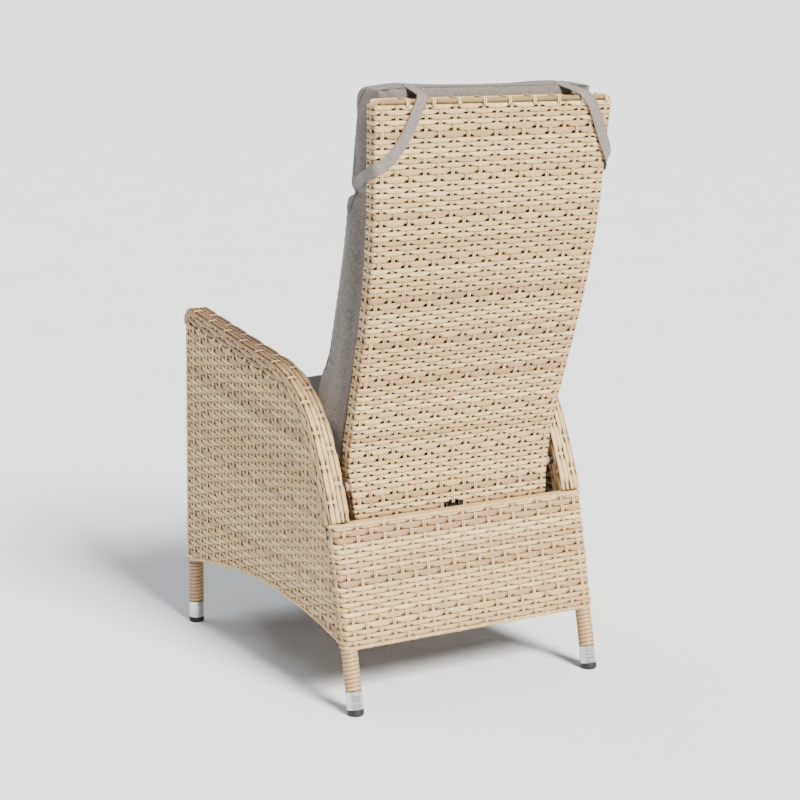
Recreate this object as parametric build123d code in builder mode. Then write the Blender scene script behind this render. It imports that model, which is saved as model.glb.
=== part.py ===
from build123d import *
import os
from math import cos, pi, radians, sin, sqrt, tan

os.makedirs("parts", exist_ok=True)

# Driving dimensions of the chair, in millimetres and degrees
width = 565.0  # over the woven sides
depth = 696.93  # front of the arms to the straps behind the back's top
foot_setback = 47.93  # how much less than the depth lies between front and rear feet, on centres
arm_across = 41.5  # outer side to inner side of an arm
skin = 3.7  # thickness of the woven skins
overrun = 60.0  # how far a cut runs past what it cuts
skin_gap = 0.3  # between a woven skin and the tube behind it
overlap = 1.0  # how far two lumps of one piece run into each other

# Arms and legs: one bent tube on each side
side_tube_radius = 12.5
side_tube_wall = 1.5
leg_lean = 12.95  # rear leg, forward from upright
leg_straight = 252.8  # along the rear leg before it starts to curve
knee_radius = 972.0
knee_turn = 15.37
elbow_radius = 235.5
elbow_turn = 53.15
band_skin = 3.5  # wrap over the top of the arm tube
arm_nose_radius = 24.0  # outer corner at the front of the arm
tube_nose_radius = 40.0  # bend of the tube's centre line there
band_depth = 30.0  # how far the arm's binding comes down
band_edge_radius = 6.0
arm_rail_radius = 4.2
arm_rail_start = 432.0  # height where the inner arm rail begins

# Legs below the weave
leg_cover_radius = 15.5
ferrule_height = 44.0
foot_height = 11.0
foot_rounding = 9.0
foot_stem = 20.0
foot_fit = 0.1
foot_sink = 4.0  # length of rubber cut away at the floor
wrap_gap = 0.4
rear_wrap_top = 115.0
front_wrap_top = 126.5

# Woven sides and aprons
arch_front_height = 127.0
arch_crown_height = 168.0
arch_rear_height = 126.0
arch_crown_run = 345.0  # crown of the side arch, ahead of the rear feet
apron_bottom = 120.0
apron_top = 344.5
apron_stand = 17.4  # rear apron's face behind the rear leg's centre, level
apron_corner_radius = 17.0
apron_return = 22.0  # how far the rear apron comes round each side
lip_reach = 18.0  # apron's top edge, folded forward over its rail
front_apron_bottom = 126.0

# Rails of the seat and of the skirts
seat_rail_radius = 11.0
seat_rail_height = 409.0
cross_bar_radius = 10.0
cross_bar_lift = 1.0  # centre above that of the seat rails
cross_bar_wall = 1.5
bar_setbacks = (467.0, 337.0, 177.0)  # seat's cross bars, ahead of the rear feet
lower_rail_radius = 8.0
lower_rail_wall = 1.2
lower_rail_rise = 11.0  # side rail's centre above the arch
rear_lower_rail_height = 131.0
front_lower_rail_height = 138.0
seat_weave_thickness = 4.0
seat_weave_gap = 0.2
seat_weave_setback = 140.0  # rear edge, ahead of the rear feet
seat_side_gap = 0.5

# Back: a curved woven panel on a tube hoop
back_setback = 89.5  # rear face at the bottom edge, ahead of the rear feet
back_foot_drop = 60.0  # bottom edge, below the recline pivot
back_top = 1120.0
back_drawn_height = 780.0  # bottom to top, for the lengths and radii of its curve
back_lean = -5.71  # bottom edge leans forward
back_low_straight = 62.8
back_low_radius = 202.1
back_low_turn = 22.0
back_mid_straight = 208.9
back_high_radius = 1282.0
back_high_turn = -12.54
back_thickness = 34.0
back_skin = 4.0
back_foot_inset = 67.5  # in from the outer side of the arms
back_waist_inset = 53.7
back_waist_rise = 180.0  # above its bottom edge
back_hip_inset = 56.0
back_hip_rise = 95.0
back_top_inset = 26.5
back_top_corner = 18.0
back_foot_corner = 12.0
hoop_radius = 10.0
hoop_wall = 1.5
hoop_edge = 17.0  # hoop's centre line in from the panel's edge
hoop_bend = 50.0
back_bar_rises = (220.0, 420.0, 620.0)
back_bar_radius = 7.0

# Recline pivot, one on each side
pivot_setback = 110.0  # ahead of the rear feet
pivot_drop = 9.0  # below the centres of the seat rails
recline = 30.0
pivot_bolt_radius = 5.0
running_fit = 0.05
screwed_fit = 0.02
bolt_head_radius = 8.0
bolt_head_height = 6.0
boss_radius = 9.0
boss_inner_inset = 92.5  # in from the outer side of the arms
boss_outer_inset = 52.5
bush_radius = 7.0
bush_flange = 2.0
spacer_gap = 0.3
bracket_stand = 8.4  # inner face, from the side tube's nearest line
bracket_thickness = 14.0
bolt_end_gap = 0.3
bracket_length = 34.0
bracket_height = 44.0
bracket_offset_y = 3.0
bracket_corner = 8.0
pivot_hole_radius = 10.5

# Locking gas spring under the seat, along the chair
lug_behind = 12.0  # rear pin of the spring, behind the recline pivot
lug_drop = 66.0  # and below it
cylinder_radius = 14.0
cylinder_bore = 12.5
cylinder_cap = 8.0
cylinder_start = 84.0  # from the front pin
cylinder_length = 113.0
neck_radius = 5.0
eye_radius = 9.6
eye_thickness = 20.0
eye_bore = 7.2
rod_radius = 5.0
rod_start = 24.0
rod_end = 150.0
rod_bore = 2.2
rod_bore_depth = 16.0
piston_radius = 12.2
piston_length = 10.0
fitting_pin_radius = 4.0
lug_pin_radius = 5.0
pin_head_radius = 7.0
pin_head = 2.5
head_width = 30.0
head_back = 32.0
head_front = 10.0
head_top = 12.0
head_bottom = 22.0
cheek = 4.0
cheek_gap = 0.5
cheek_half = 14.0
lug_slot_half = 20.0
lug_slot_rise = 12.0  # slot for the lug, above the back's bottom edge
lug_radius = 9.0

# Release: plunger and arm in the spring's head, worked by a cable
plunger_radius = 2.0
plunger_start = 9.0
plunger_end = 34.0
plunger_fit = 0.1
arm_pivot_s = 7.0
arm_pivot_drop = 14.0
arm_reach_up = 20.0
arm_reach_down = 18.0
arm_breadth = 3.6
arm_half = 2.8
arm_slot_half = 3.3
arm_slot_front = 2.4
arm_slot_rear = 14.5
arm_slot_top = 8.0
trunnion_radius = 1.5
trunnion_half = 8.0
stop_start = 26.0
stop_end = 22.0
stop_half = 6.0
stop_drop = 38.0
wire_radius = 0.8
wire_hole = 1.6
wire_drop = 32.0
wire_start = 21.5
wire_end = 9.8
wire_eye = 1.9
nipple_radius = 2.4
nipple_length = 2.0
lever_wire = 8.0
cable_radius = 2.5

# Release handle, let into the right-hand side under the arm
bezel_setback = 158.0  # centre, behind the front of the arms
bezel_z = 560.0
bezel_length = 100.0
bezel_height = 44.0
bezel_depth = 28.0
bezel_wall = 2.0
lever_length = 92.0
lever_top = 567.0
lever_thickness = 4.0
lever_inset = 4.5
lever_pin_radius = 2.0
lever_pin_z = 549.0
lever_knuckle = 4.2
lever_tail = 16.5
lever_tail_half = 4.0
lever_tail_thickness = 3.0

# Cushions and straps
soft_gap = 0.4
seat_cushion_height = 64.0
seat_cushion_edge = 46.0
seat_cushion_lip = 7.0  # front edge, behind the front of the arms
seat_cushion_gap = 4.0  # to the back cushion
seat_cushion_side_gap = 3.0
cushion_stand = 11.8  # back cushion's bottom, above the seat's weave
cushion_rise = 11.0  # back cushion's top, above the back
cushion_head_height = 185.0  # from the sewn line under the head section to the top
cushion_inset = 46.5  # in from the outer side of the arms
cushion_low_depth = 112.0
cushion_waist_depth = 117.0
cushion_head_depth = 82.0
cushion_side_depth = 106.0
cushion_head_side = 77.0
channel_depth = 76.0
channel_half_height = 9.0
cushion_corner_drop = 3.0  # how much lower the back cushion's top is at its sides
crown_drop = 12.0  # how much lower the cushion's top is at its sides
strap_width = 22.0
strap_thickness = 1.6
strap_gap = 0.4
strap_tops = {"left": 122.5, "right": 116.5}  # in from the outer side of the arms
strap_knees = {"left": (79.5, 78.0), "right": (56.5, 56.0)}  # in, and below the back's top
strap_side_drop = 145.0  # below the back's top
strap_bend = 66.0
strap_side_reach = 46.0

# Route of the cable, handle to spring head: shares of the handle's place across, of the way back and down
cable_route = (
    (1.0, -0.0072, 0.1949),
    (0.9765, -0.0107, 0.4153),
    (0.9746, -0.0037, 0.6525),
    (0.908, 0.0172, 0.839),
    (0.7436, 0.0589, 0.9492),
    (0.5479, 0.1216, 0.9958),
    (0.3601, 0.2608, 1.0085),
    (0.2035, 0.4418, 1.0085),
    (0.0705, 0.6367, 1.0042),
    (0.0078, 0.8176, 1.0),
)
cable_inset = 27.0  # first point, in from the outer side of the arms

# Share tables of the cushions
across_shares = (-1.0, -0.82, 0.0, 0.82, 1.0)  # places across, as shares of the half-width
depth_shares = (0.0, 0.86, 1.0, 0.86, 0.0)  # how full the cushion is at each place
foot_share = 0.6
knee_share = 0.4
lip_share = 0.85
head_lip_share = 0.98
brow_share = 0.98
crown_share = 0.84
top_share = 0.6
top_rise_share = 0.11
bend_share = 0.45  # how much of a run of cable each bend may use

half_width = width / 2
front = -depth / 2
front_foot_y = front + band_skin + side_tube_radius
foot_spacing = depth - foot_setback
rear_foot_y = front_foot_y + foot_spacing
arm_inner_half = half_width - arm_across
back_foot_half = half_width - back_foot_inset
back_hip_half = half_width - back_hip_inset
back_waist_half = half_width - back_waist_inset
back_top_half = half_width - back_top_inset
boss_inner = half_width - boss_inner_inset
boss_outer = half_width - boss_outer_inset
cushion_half = half_width - cushion_inset
pivot_z = seat_rail_height - pivot_drop
back_bottom = pivot_z - back_foot_drop
back_scale = (back_top - back_bottom) / back_drawn_height
back_hip_height = back_bottom + back_scale * back_hip_rise
back_waist_height = back_bottom + back_scale * back_waist_rise
cushion_top = back_top + cushion_rise
cushion_channel = cushion_top - cushion_head_height
strap_side_z = back_top - strap_side_drop
cross_bar_height = seat_rail_height + cross_bar_lift
cushion_bottom = cross_bar_height + cross_bar_radius + seat_weave_gap + seat_weave_thickness + cushion_stand
side_x = half_width - skin - skin_gap - side_tube_radius
pivot_y = rear_foot_y - pivot_setback
back_foot_y = rear_foot_y - back_setback
bar_places = [rear_foot_y - setback for setback in bar_setbacks]
spring_front_y = bar_places[1]
spring_rear_y = pivot_y + lug_behind
spring_z = pivot_z - lug_drop
bezel_y = front + bezel_setback
lean_slope = tan(radians(leg_lean))
tube_inset = band_skin + side_tube_radius
sides = (("left", 1), ("right", -1))


def finish(made, name):
    """Names a finished sub-part and writes it."""
    made.part.label = name
    export_step(made.part, f"parts/{name}.step")


def walk(start, heading, moves, shift):
    """Lines and arcs of a path in a side view, moved sideways by shift. Headings turn from up to rear."""
    y, z = start
    pieces = []
    for size, turn in moves:
        ahead = (sin(radians(heading)), cos(radians(heading)))
        if turn == 0:
            begin = (y + shift * ahead[1], z - shift * ahead[0])
            y += size * ahead[0]
            z += size * ahead[1]
            pieces.append((begin, (y + shift * ahead[1], z - shift * ahead[0])))
            continue
        sign = 1 if turn > 0 else -1
        centre = (y + sign * size * ahead[1], z - sign * size * ahead[0])

        def at(share, reach):
            angle = radians(heading + turn * share)
            return (centre[0] - sign * reach * cos(angle), centre[1] + sign * reach * sin(angle))

        moved = size - sign * shift
        pieces.append((at(0, moved), at(0.5, moved), at(1, moved)))
        y, z = at(1, size)
        heading += turn
    return pieces


def draw(pieces):
    """Draws pieces of a path in the current line context."""
    for piece in pieces:
        if len(piece) == 2:
            Line(*piece)
        else:
            ThreePointArc(*piece)


def backwards(pieces):
    return [tuple(reversed(piece)) for piece in reversed(pieces)]


def outline(*runs):
    """Closes runs of pieces into one outline, with straight lines between them."""
    joined = []
    for run in runs:
        if joined and joined[-1][-1] != run[0][0]:
            joined.append((joined[-1][-1], run[0][0]))
        joined.extend(run)
    joined.append((joined[-1][-1], joined[0][0]))
    return joined


# The side view of the arm: outer line of the rear leg, the elbow and the arm's top
arm_foot = (rear_foot_y + tube_inset / cos(radians(leg_lean)), 0)
arm_rise = [(leg_straight, 0), (knee_radius, -knee_turn), (elbow_radius, -elbow_turn)]
arm_slope = -(leg_lean + knee_turn + elbow_turn)
elbow_end = walk(arm_foot, -leg_lean, arm_rise, 0)[-1][-1]


def arm_track(nose_radius, shift):
    """Outer line of leg and arm round to the front leg, moved outwards by shift."""
    nose_y = front + nose_radius * (1 + cos(radians(arm_slope)))
    run = (nose_y - elbow_end[0]) / sin(radians(arm_slope))
    moves = arm_rise + [(run, 0), (nose_radius, -180 - arm_slope)]
    height = walk(arm_foot, -leg_lean, moves, 0)[-1][-1][1]
    return walk(arm_foot, -leg_lean, moves + [(height, 0)], shift)


def arm_line(shift):
    """The same line run straight on to the front of the chair, without the nose."""
    reach = (front - elbow_end[0]) / sin(radians(arm_slope)) + overrun
    return walk(arm_foot, -leg_lean, arm_rise + [(reach, 0)], shift)


tube_track = arm_track(tube_nose_radius + tube_inset, -tube_inset)


def track_y(pieces, height):
    """Where a rising path of lines and arcs first crosses a height."""
    for piece in pieces:
        if piece[0][1] <= height <= piece[-1][1]:
            if len(piece) == 2:
                share = (height - piece[0][1]) / (piece[1][1] - piece[0][1])
                return piece[0][0] + share * (piece[1][0] - piece[0][0])
            (y0, z0), (y1, z1), (y2, z2) = piece
            first = (y1**2 - y0**2 + z1**2 - z0**2) / 2
            second = (y2**2 - y1**2 + z2**2 - z1**2) / 2
            area = (y1 - y0) * (z2 - z1) - (y2 - y1) * (z1 - z0)
            centre_y = (first * (z2 - z1) - second * (z1 - z0)) / area
            centre_z = (second * (y1 - y0) - first * (y2 - y1)) / area
            reach = sqrt((y0 - centre_y) ** 2 + (z0 - centre_z) ** 2 - (height - centre_z) ** 2)
            return centre_y + reach if y1 > centre_y else centre_y - reach
    return pieces[-1][-1][0]


# Side frames
def side_sweep(x, radius, wall):
    """Tube along the whole track of a side, solid where wall is 0."""
    with BuildPart() as made:
        with BuildLine(Plane.YZ.offset(x)) as path:
            draw(tube_track)
        with BuildSketch(Plane(origin=path.wire() @ 0, z_dir=path.wire() % 0)):
            Circle(radius)
            if wall:
                Circle(radius - wall, mode=Mode.SUBTRACT)
        sweep(path=path.wire())
    return made.part


def leg_plane(sign, end):
    """Plane square to a leg where its centre meets the floor."""
    if end == "rear":
        return Plane(
            origin=(sign * side_x, rear_foot_y, 0),
            x_dir=(1, 0, 0),
            z_dir=(0, -sin(radians(leg_lean)), cos(radians(leg_lean))),
        )
    return Plane(origin=(sign * side_x, front_foot_y, 0), x_dir=(1, 0, 0), z_dir=(0, 0, 1))


tube_foot = foot_height + wrap_gap
side_cutters = {}
for side, sign in sides:
    side_cutters[side] = side_sweep(sign * side_x, side_tube_radius, 0)
    with BuildPart() as side_frame:
        add(side_sweep(sign * side_x, side_tube_radius, side_tube_wall))
        for end in ("rear", "front"):
            with BuildSketch(leg_plane(sign, end).offset(tube_foot)):
                Circle(side_tube_radius + overlap)
            extrude(amount=-overrun, mode=Mode.SUBTRACT)
    finish(side_frame, f"{side}_side_frame")

    # A thin rail beside the arm tube, so that the arm's binding is wide and flat
    with BuildPart() as arm_rail:
        rail_x = side_x - side_tube_radius - arm_rail_radius
        add(side_sweep(sign * rail_x, arm_rail_radius, 0))
        split(bisect_by=Plane.XY.offset(arm_rail_start), keep=Keep.TOP)
    finish(arm_rail, f"{side}_arm_rail")


# Feet, ferrules and leg wraps
wrap_tops = {"rear": rear_wrap_top, "front": front_wrap_top}
for end in ("front", "rear"):
    for side, sign in sides:
        leg = leg_plane(sign, end)
        with BuildPart() as foot:
            with BuildSketch(leg.offset(-foot_sink)):
                Circle(leg_cover_radius)
            extrude(amount=foot_height + foot_sink)
            fillet(foot.edges().group_by(Axis.Z)[0], foot_rounding)
            split(bisect_by=Plane.XY, keep=Keep.TOP)
            with BuildSketch(leg.offset(foot_height)):
                Circle(side_tube_radius - side_tube_wall - foot_fit)
            extrude(amount=foot_stem)
        finish(foot, f"{end}_{side}_foot")

        with BuildPart() as ferrule:
            with BuildSketch(leg.offset(foot_height)):
                Circle(leg_cover_radius)
                Circle(side_tube_radius + foot_fit, mode=Mode.SUBTRACT)
            extrude(amount=ferrule_height - foot_height)
        finish(ferrule, f"{end}_{side}_ferrule")

        with BuildPart() as leg_wrap:
            with BuildSketch(leg.offset(ferrule_height + wrap_gap)):
                Circle(leg_cover_radius)
                Circle(side_tube_radius + foot_fit, mode=Mode.SUBTRACT)
            extrude(amount=wrap_tops[end] - ferrule_height - wrap_gap)
        finish(leg_wrap, f"{end}_{side}_leg_wrap")


# Rails along the sides
arch_crown_y = rear_foot_y - arch_crown_run
arch = ((front, arch_front_height), (arch_crown_y, arch_crown_height), (rear_foot_y - band_depth, arch_rear_height))
seat_rail_cutters = {}
for side, sign in sides:
    with BuildPart() as seat_rail_core:
        with BuildSketch(Plane.XZ.offset(-front_foot_y)):
            with Locations((sign * side_x, seat_rail_height)):
                Circle(seat_rail_radius)
        extrude(amount=-(track_y(tube_track, seat_rail_height) - front_foot_y))
        add(side_cutters[side], mode=Mode.SUBTRACT)
    seat_rail_cutters[side] = seat_rail_core.part

    with BuildPart() as seat_rail:
        add(seat_rail_cutters[side])
        with BuildSketch(Plane.XZ.offset(-front_foot_y)):
            with Locations((sign * side_x, seat_rail_height)):
                Circle(seat_rail_radius - cross_bar_wall)
        extrude(amount=-foot_spacing, mode=Mode.SUBTRACT)
    finish(seat_rail, f"{side}_seat_rail")

    with BuildPart() as lower_rail:
        with BuildLine(Plane.YZ.offset(sign * side_x)) as arch_path:
            ThreePointArc(
                (front_foot_y, arch_front_height + lower_rail_rise),
                (arch_crown_y, arch_crown_height + lower_rail_rise),
                (rear_foot_y - band_depth, arch_rear_height + lower_rail_rise),
            )
        with BuildSketch(Plane(origin=arch_path.wire() @ 0, z_dir=arch_path.wire() % 0)):
            Circle(lower_rail_radius)
            Circle(lower_rail_radius - lower_rail_wall, mode=Mode.SUBTRACT)
        sweep(path=arch_path.wire())
        add(side_cutters[side], mode=Mode.SUBTRACT)
    finish(lower_rail, f"{side}_lower_rail")


def cross_tube(y, z, radius, wall, cutters):
    """Level tube from side to side, cut to fit the tubes that it meets."""
    with BuildPart() as made:
        with BuildSketch(Plane.YZ):
            with Locations((y, z)):
                Circle(radius)
                Circle(radius - wall, mode=Mode.SUBTRACT)
        extrude(amount=side_x, both=True)
        for cutter in cutters.values():
            add(cutter, mode=Mode.SUBTRACT)
    return made.part


lip_half = side_x - side_tube_radius - arm_rail_radius / 2


def apron_face(height):
    """Where the rear apron's outer face stands at a height."""
    return rear_foot_y + apron_stand - lean_slope * height


rear_upper_rail_z = apron_top - skin - skin_gap - lower_rail_radius
rear_upper_rail_y = apron_face(rear_upper_rail_z) - skin - skin_gap - lower_rail_radius
with BuildPart() as front_seat_rail:
    add(cross_tube(front_foot_y, seat_rail_height, seat_rail_radius, cross_bar_wall, side_cutters))
    for cutter in seat_rail_cutters.values():
        add(cutter, mode=Mode.SUBTRACT)
finish(front_seat_rail, "front_seat_rail")
with BuildPart() as seat_cross_bars:
    for bar_y in bar_places:
        add(cross_tube(bar_y, cross_bar_height, cross_bar_radius, cross_bar_wall, seat_rail_cutters))
finish(seat_cross_bars, "seat_cross_bars")
with BuildPart() as rear_upper_rail:
    add(cross_tube(rear_upper_rail_y, rear_upper_rail_z, lower_rail_radius, lower_rail_wall, side_cutters))
finish(rear_upper_rail, "rear_upper_rail")
rear_lower_rail_y = apron_face(rear_lower_rail_height + lower_rail_radius) - skin - skin_gap - lower_rail_radius
with BuildPart() as rear_lower_rail:
    add(cross_tube(rear_lower_rail_y, rear_lower_rail_height, lower_rail_radius, lower_rail_wall, side_cutters))
finish(rear_lower_rail, "rear_lower_rail")
front_lower_rail_y = front + skin + skin_gap + lower_rail_radius
with BuildPart() as front_lower_rail:
    add(cross_tube(front_lower_rail_y, front_lower_rail_height, lower_rail_radius, lower_rail_wall, side_cutters))
finish(front_lower_rail, "front_lower_rail")


def under(track):
    """Outline of everything below a path in the side view."""
    return outline(track, [((track[-1][-1][0], -overrun), (track[0][0][0], -overrun))])


def clear_below(height):
    """Cuts a side view away below a height."""
    with Locations((0, height)):
        Rectangle(4 * depth, 4 * depth, align=(Align.CENTER, Align.MAX), mode=Mode.SUBTRACT)


def clear_ahead(y):
    """Cuts a side view away in front of a place."""
    with Locations((y, 0)):
        Rectangle(4 * depth, 4 * depth, align=(Align.MAX, Align.CENTER), mode=Mode.SUBTRACT)


# Pivot brackets, bolts and spacers
bracket_x = side_x - side_tube_radius - bracket_stand
with BuildPart() as pivot_brackets:
    for side, sign in sides:
        with BuildSketch(Plane.YZ.offset(sign * bracket_x)):
            with Locations((pivot_y + bracket_offset_y, pivot_z)):
                RectangleRounded(bracket_length, bracket_height, bracket_corner)
            with BuildLine():
                draw(under(arm_track(arm_nose_radius, -band_skin - skin_gap)))
            make_face(mode=Mode.INTERSECT)
            with Locations((pivot_y, pivot_z)):
                Circle(pivot_bolt_radius + screwed_fit, mode=Mode.SUBTRACT)
        extrude(amount=sign * bracket_thickness)
        add(side_cutters[side], mode=Mode.SUBTRACT)
        add(seat_rail_cutters[side], mode=Mode.SUBTRACT)
finish(pivot_brackets, "pivot_brackets")

with BuildPart() as pivot_bolts:
    for side, sign in sides:
        with BuildSketch(Plane.YZ.offset(sign * (boss_inner - spacer_gap))):
            with Locations((pivot_y, pivot_z)):
                Circle(bolt_head_radius)
        extrude(amount=-sign * bolt_head_height)
        with BuildSketch(Plane.YZ.offset(sign * (boss_inner - spacer_gap))):
            with Locations((pivot_y, pivot_z)):
                Circle(pivot_bolt_radius)
        extrude(amount=sign * (bracket_x + bracket_stand - bolt_end_gap - boss_inner + spacer_gap))
finish(pivot_bolts, "pivot_bolts")

with BuildPart() as pivot_spacers:
    spacer_start = boss_outer + bush_flange + spacer_gap
    for side, sign in sides:
        with BuildSketch(Plane.YZ.offset(sign * spacer_start)):
            with Locations((pivot_y, pivot_z)):
                Circle(boss_radius)
                Circle(pivot_bolt_radius + running_fit, mode=Mode.SUBTRACT)
        extrude(amount=sign * (bracket_x - spacer_start))
finish(pivot_spacers, "pivot_spacers")


# Woven skins of the arms and sides
band_inner = arm_line(-band_depth)
band_foot, band_end = band_inner[-1]
band_share = (front + skin - band_foot[0]) / (band_end[0] - band_foot[0])
nose_bottom = band_foot[1] + band_share * (band_end[1] - band_foot[1])
seat_weave_base = cross_bar_height + cross_bar_radius + seat_weave_gap
seat_weave_top = seat_weave_base + seat_weave_thickness
skin_x = half_width - skin
arm_width = half_width - arm_inner_half
for side, sign in sides:
    with BuildPart() as side_weave:
        with BuildSketch(Plane.YZ.offset(sign * skin_x)):
            with BuildLine():
                draw(under(band_inner))
            make_face()
            clear_below(apron_top)
            with BuildLine():
                corner_y = apron_face(0) - apron_return
                Polyline(
                    (front, 0),
                    (corner_y, 0),
                    (corner_y - lean_slope * apron_top, apron_top),
                    (front, apron_top),
                    close=True,
                )
            make_face()
            clear_ahead(front)
            with BuildLine():
                ThreePointArc(*arch)
                Polyline(arch[2], (depth, arch_rear_height), (depth, -overrun), (front, -overrun), arch[0])
            make_face(mode=Mode.SUBTRACT)
        extrude(amount=sign * skin)
        with BuildSketch(Plane.XY.offset(arch_front_height)):
            with Locations((sign * (arm_inner_half + arm_width / 2), front)):
                Rectangle(arm_width, band_skin - skin_gap, align=(Align.CENTER, Align.MIN))
        extrude(amount=nose_bottom - arch_front_height)
        if side == "right":
            with BuildSketch(Plane.YZ.offset(-half_width)):
                with Locations((bezel_y, bezel_z)):
                    Rectangle(bezel_length, bezel_height)
            extrude(amount=overrun / 2, both=True, mode=Mode.SUBTRACT)
    finish(side_weave, f"{side}_side_weave")

    with BuildPart() as inner_weave:
        with BuildSketch(Plane.YZ.offset(sign * arm_inner_half)):
            with BuildLine():
                draw(under(band_inner))
            make_face()
            clear_below(seat_weave_top + skin_gap)
            clear_ahead(front + skin)
        extrude(amount=sign * skin)
    finish(inner_weave, f"{side}_inner_weave")

    with BuildPart() as arm_band:
        with BuildSketch(Plane.YZ.offset(sign * arm_inner_half)):
            with BuildLine():
                draw(under(arm_track(arm_nose_radius, 0)))
            make_face()
            with BuildLine():
                draw(under(band_inner))
            make_face(mode=Mode.SUBTRACT)
            clear_below(apron_top)
        extrude(amount=sign * arm_width)
        with BuildSketch(Plane.YZ.offset(sign * (arm_inner_half + skin))):
            with BuildLine():
                draw(under(arm_track(arm_nose_radius, -band_skin)))
            make_face()
        extrude(amount=sign * (arm_width - 2 * skin), mode=Mode.SUBTRACT)
        with BuildSketch(Plane.YZ.offset(sign * arm_inner_half)):
            with Locations((pivot_y, pivot_z)):
                Circle(pivot_hole_radius)
        extrude(amount=sign * 2 * skin, mode=Mode.SUBTRACT)
    finish(arm_band, f"{side}_arm_band")


# Aprons and seat weave
def bend_round(half, face, radius, start):
    """Plan of a skin that comes round two corners: along a side, the rear, and the other side."""
    middle = radius * (1 - cos(radians(45)))
    right = [
        ((half, start), (half, face - radius)),
        ((half, face - radius), (half - middle, face - middle), (half - radius, face)),
    ]
    left = [tuple((-x, y) for x, y in piece) for piece in backwards(right)]
    return right + [((half - radius, face), (radius - half, face))] + left


with BuildPart() as rear_apron_weave:
    for height in (apron_bottom, apron_top):
        face = apron_face(height)
        with BuildSketch(Plane.XY.offset(height)):
            with BuildLine():
                start = face - apron_return
                outer = bend_round(half_width, face, apron_corner_radius, start)
                inner = bend_round(half_width - skin, face - skin, apron_corner_radius - skin, start)
                draw(outline(outer, backwards(inner)))
            make_face()
    loft(ruled=True)
    with BuildSketch(Plane.XY.offset(apron_top - skin)):
        with Locations((0, apron_face(apron_top) - overlap)):
            Rectangle(2 * lip_half, lip_reach, align=(Align.CENTER, Align.MAX))
    extrude(amount=skin)
finish(rear_apron_weave, "rear_apron_weave")

with BuildPart() as front_apron_weave:
    with BuildSketch(Plane.XZ.offset(-front)):
        with Locations((0, front_apron_bottom)):
            front_height = seat_weave_top - front_apron_bottom
            Rectangle(2 * arm_inner_half, front_height, align=(Align.CENTER, Align.MIN))
    extrude(amount=-skin)
finish(front_apron_weave, "front_apron_weave")

seat_weave_rear = rear_foot_y - seat_weave_setback
seat_weave_front = front + skin + skin_gap
with BuildPart() as seat_weave:
    with BuildSketch(Plane.XY.offset(seat_weave_base)):
        with Locations((0, seat_weave_front)):
            seat_half = arm_inner_half - seat_side_gap
            Rectangle(2 * seat_half, seat_weave_rear - seat_weave_front, align=(Align.CENTER, Align.MIN))
    extrude(amount=seat_weave_thickness)
finish(seat_weave, "seat_weave")


# Back panel
back_moves = [
    (back_scale * back_low_straight, 0),
    (back_scale * back_low_radius, back_low_turn),
    (back_scale * back_mid_straight, 0),
    (back_scale * back_high_radius, back_high_turn),
]
back_start = (
    back_foot_y - overrun * sin(radians(back_lean)),
    back_bottom - overrun * cos(radians(back_lean)),
)
back_moves[0] = (back_scale * back_low_straight + overrun, 0)
back_end_lean = back_lean + back_low_turn + back_high_turn
back_reach = (back_top + overrun - walk(back_start, back_lean, back_moves, 0)[-1][-1][1]) / cos(
    radians(back_end_lean)
)


def back_track(shift):
    """Rear face of the back from below its foot to above its top, moved to the rear by shift."""
    return walk(back_start, back_lean, back_moves + [(back_reach, 0)], shift)


def back_half(height):
    """Half-width of the back at a height."""
    low, high, low_half, high_half = back_bottom, back_hip_height, back_foot_half, back_hip_half
    if height > back_hip_height:
        low, high, low_half, high_half = back_hip_height, back_waist_height, back_hip_half, back_waist_half
    if height > back_waist_height:
        low, high, low_half, high_half = back_waist_height, back_top, back_waist_half, back_top_half
    return low_half + (height - low) / (high - low) * (high_half - low_half)


def back_slab(inset):
    """The whole panel, drawn in all round by inset."""
    with BuildPart() as made:
        with BuildSketch(Plane.YZ):
            with BuildLine():
                draw(outline(back_track(-inset), backwards(back_track(inset - back_thickness))))
            make_face()
        extrude(amount=back_top_half, both=True)
        with BuildSketch(Plane.XZ.offset(-depth)) as front_view:
            with BuildLine():
                top, bottom = back_top - inset, back_bottom + inset
                Line((0, bottom), (back_foot_half - inset, bottom))
                ThreePointArc(
                    (back_foot_half - inset, bottom),
                    (back_hip_half - inset, back_hip_height),
                    (back_waist_half - inset, back_waist_height),
                )
                Line((back_waist_half - inset, back_waist_height), (back_top_half - inset, top))
                Line((back_top_half - inset, top), (0, top))
                mirror(about=Plane.YZ)
            make_face()
            fillet(front_view.vertices().group_by(Axis.Y)[-1].sort_by(Axis.X)[0], back_top_corner - inset)
            fillet(front_view.vertices().group_by(Axis.Y)[-1].sort_by(Axis.X)[-1], back_top_corner - inset)
            fillet(front_view.vertices().group_by(Axis.Y)[0].sort_by(Axis.X)[0], back_foot_corner - inset)
            fillet(front_view.vertices().group_by(Axis.Y)[0].sort_by(Axis.X)[-1], back_foot_corner - inset)
        extrude(amount=2 * depth, mode=Mode.INTERSECT)
    return made.part


def tangent_corners(shift):
    """Corners of the straight lines that the back's curves join, moved to the rear by shift."""
    track = back_track(shift)
    corners = []
    for before, bend, after in ((track[0], track[1], track[2]), (track[2], track[3], track[4])):
        (y0, z0), (y1, z1) = before
        (y2, z2), (y3, z3) = after
        run = ((y2 - y0) * (z3 - z2) - (z2 - z0) * (y3 - y2)) / ((y1 - y0) * (z3 - z2) - (z1 - z0) * (y3 - y2))
        corners.append((y0 + run * (y1 - y0), z0 + run * (z1 - z0)))
    return corners


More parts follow.
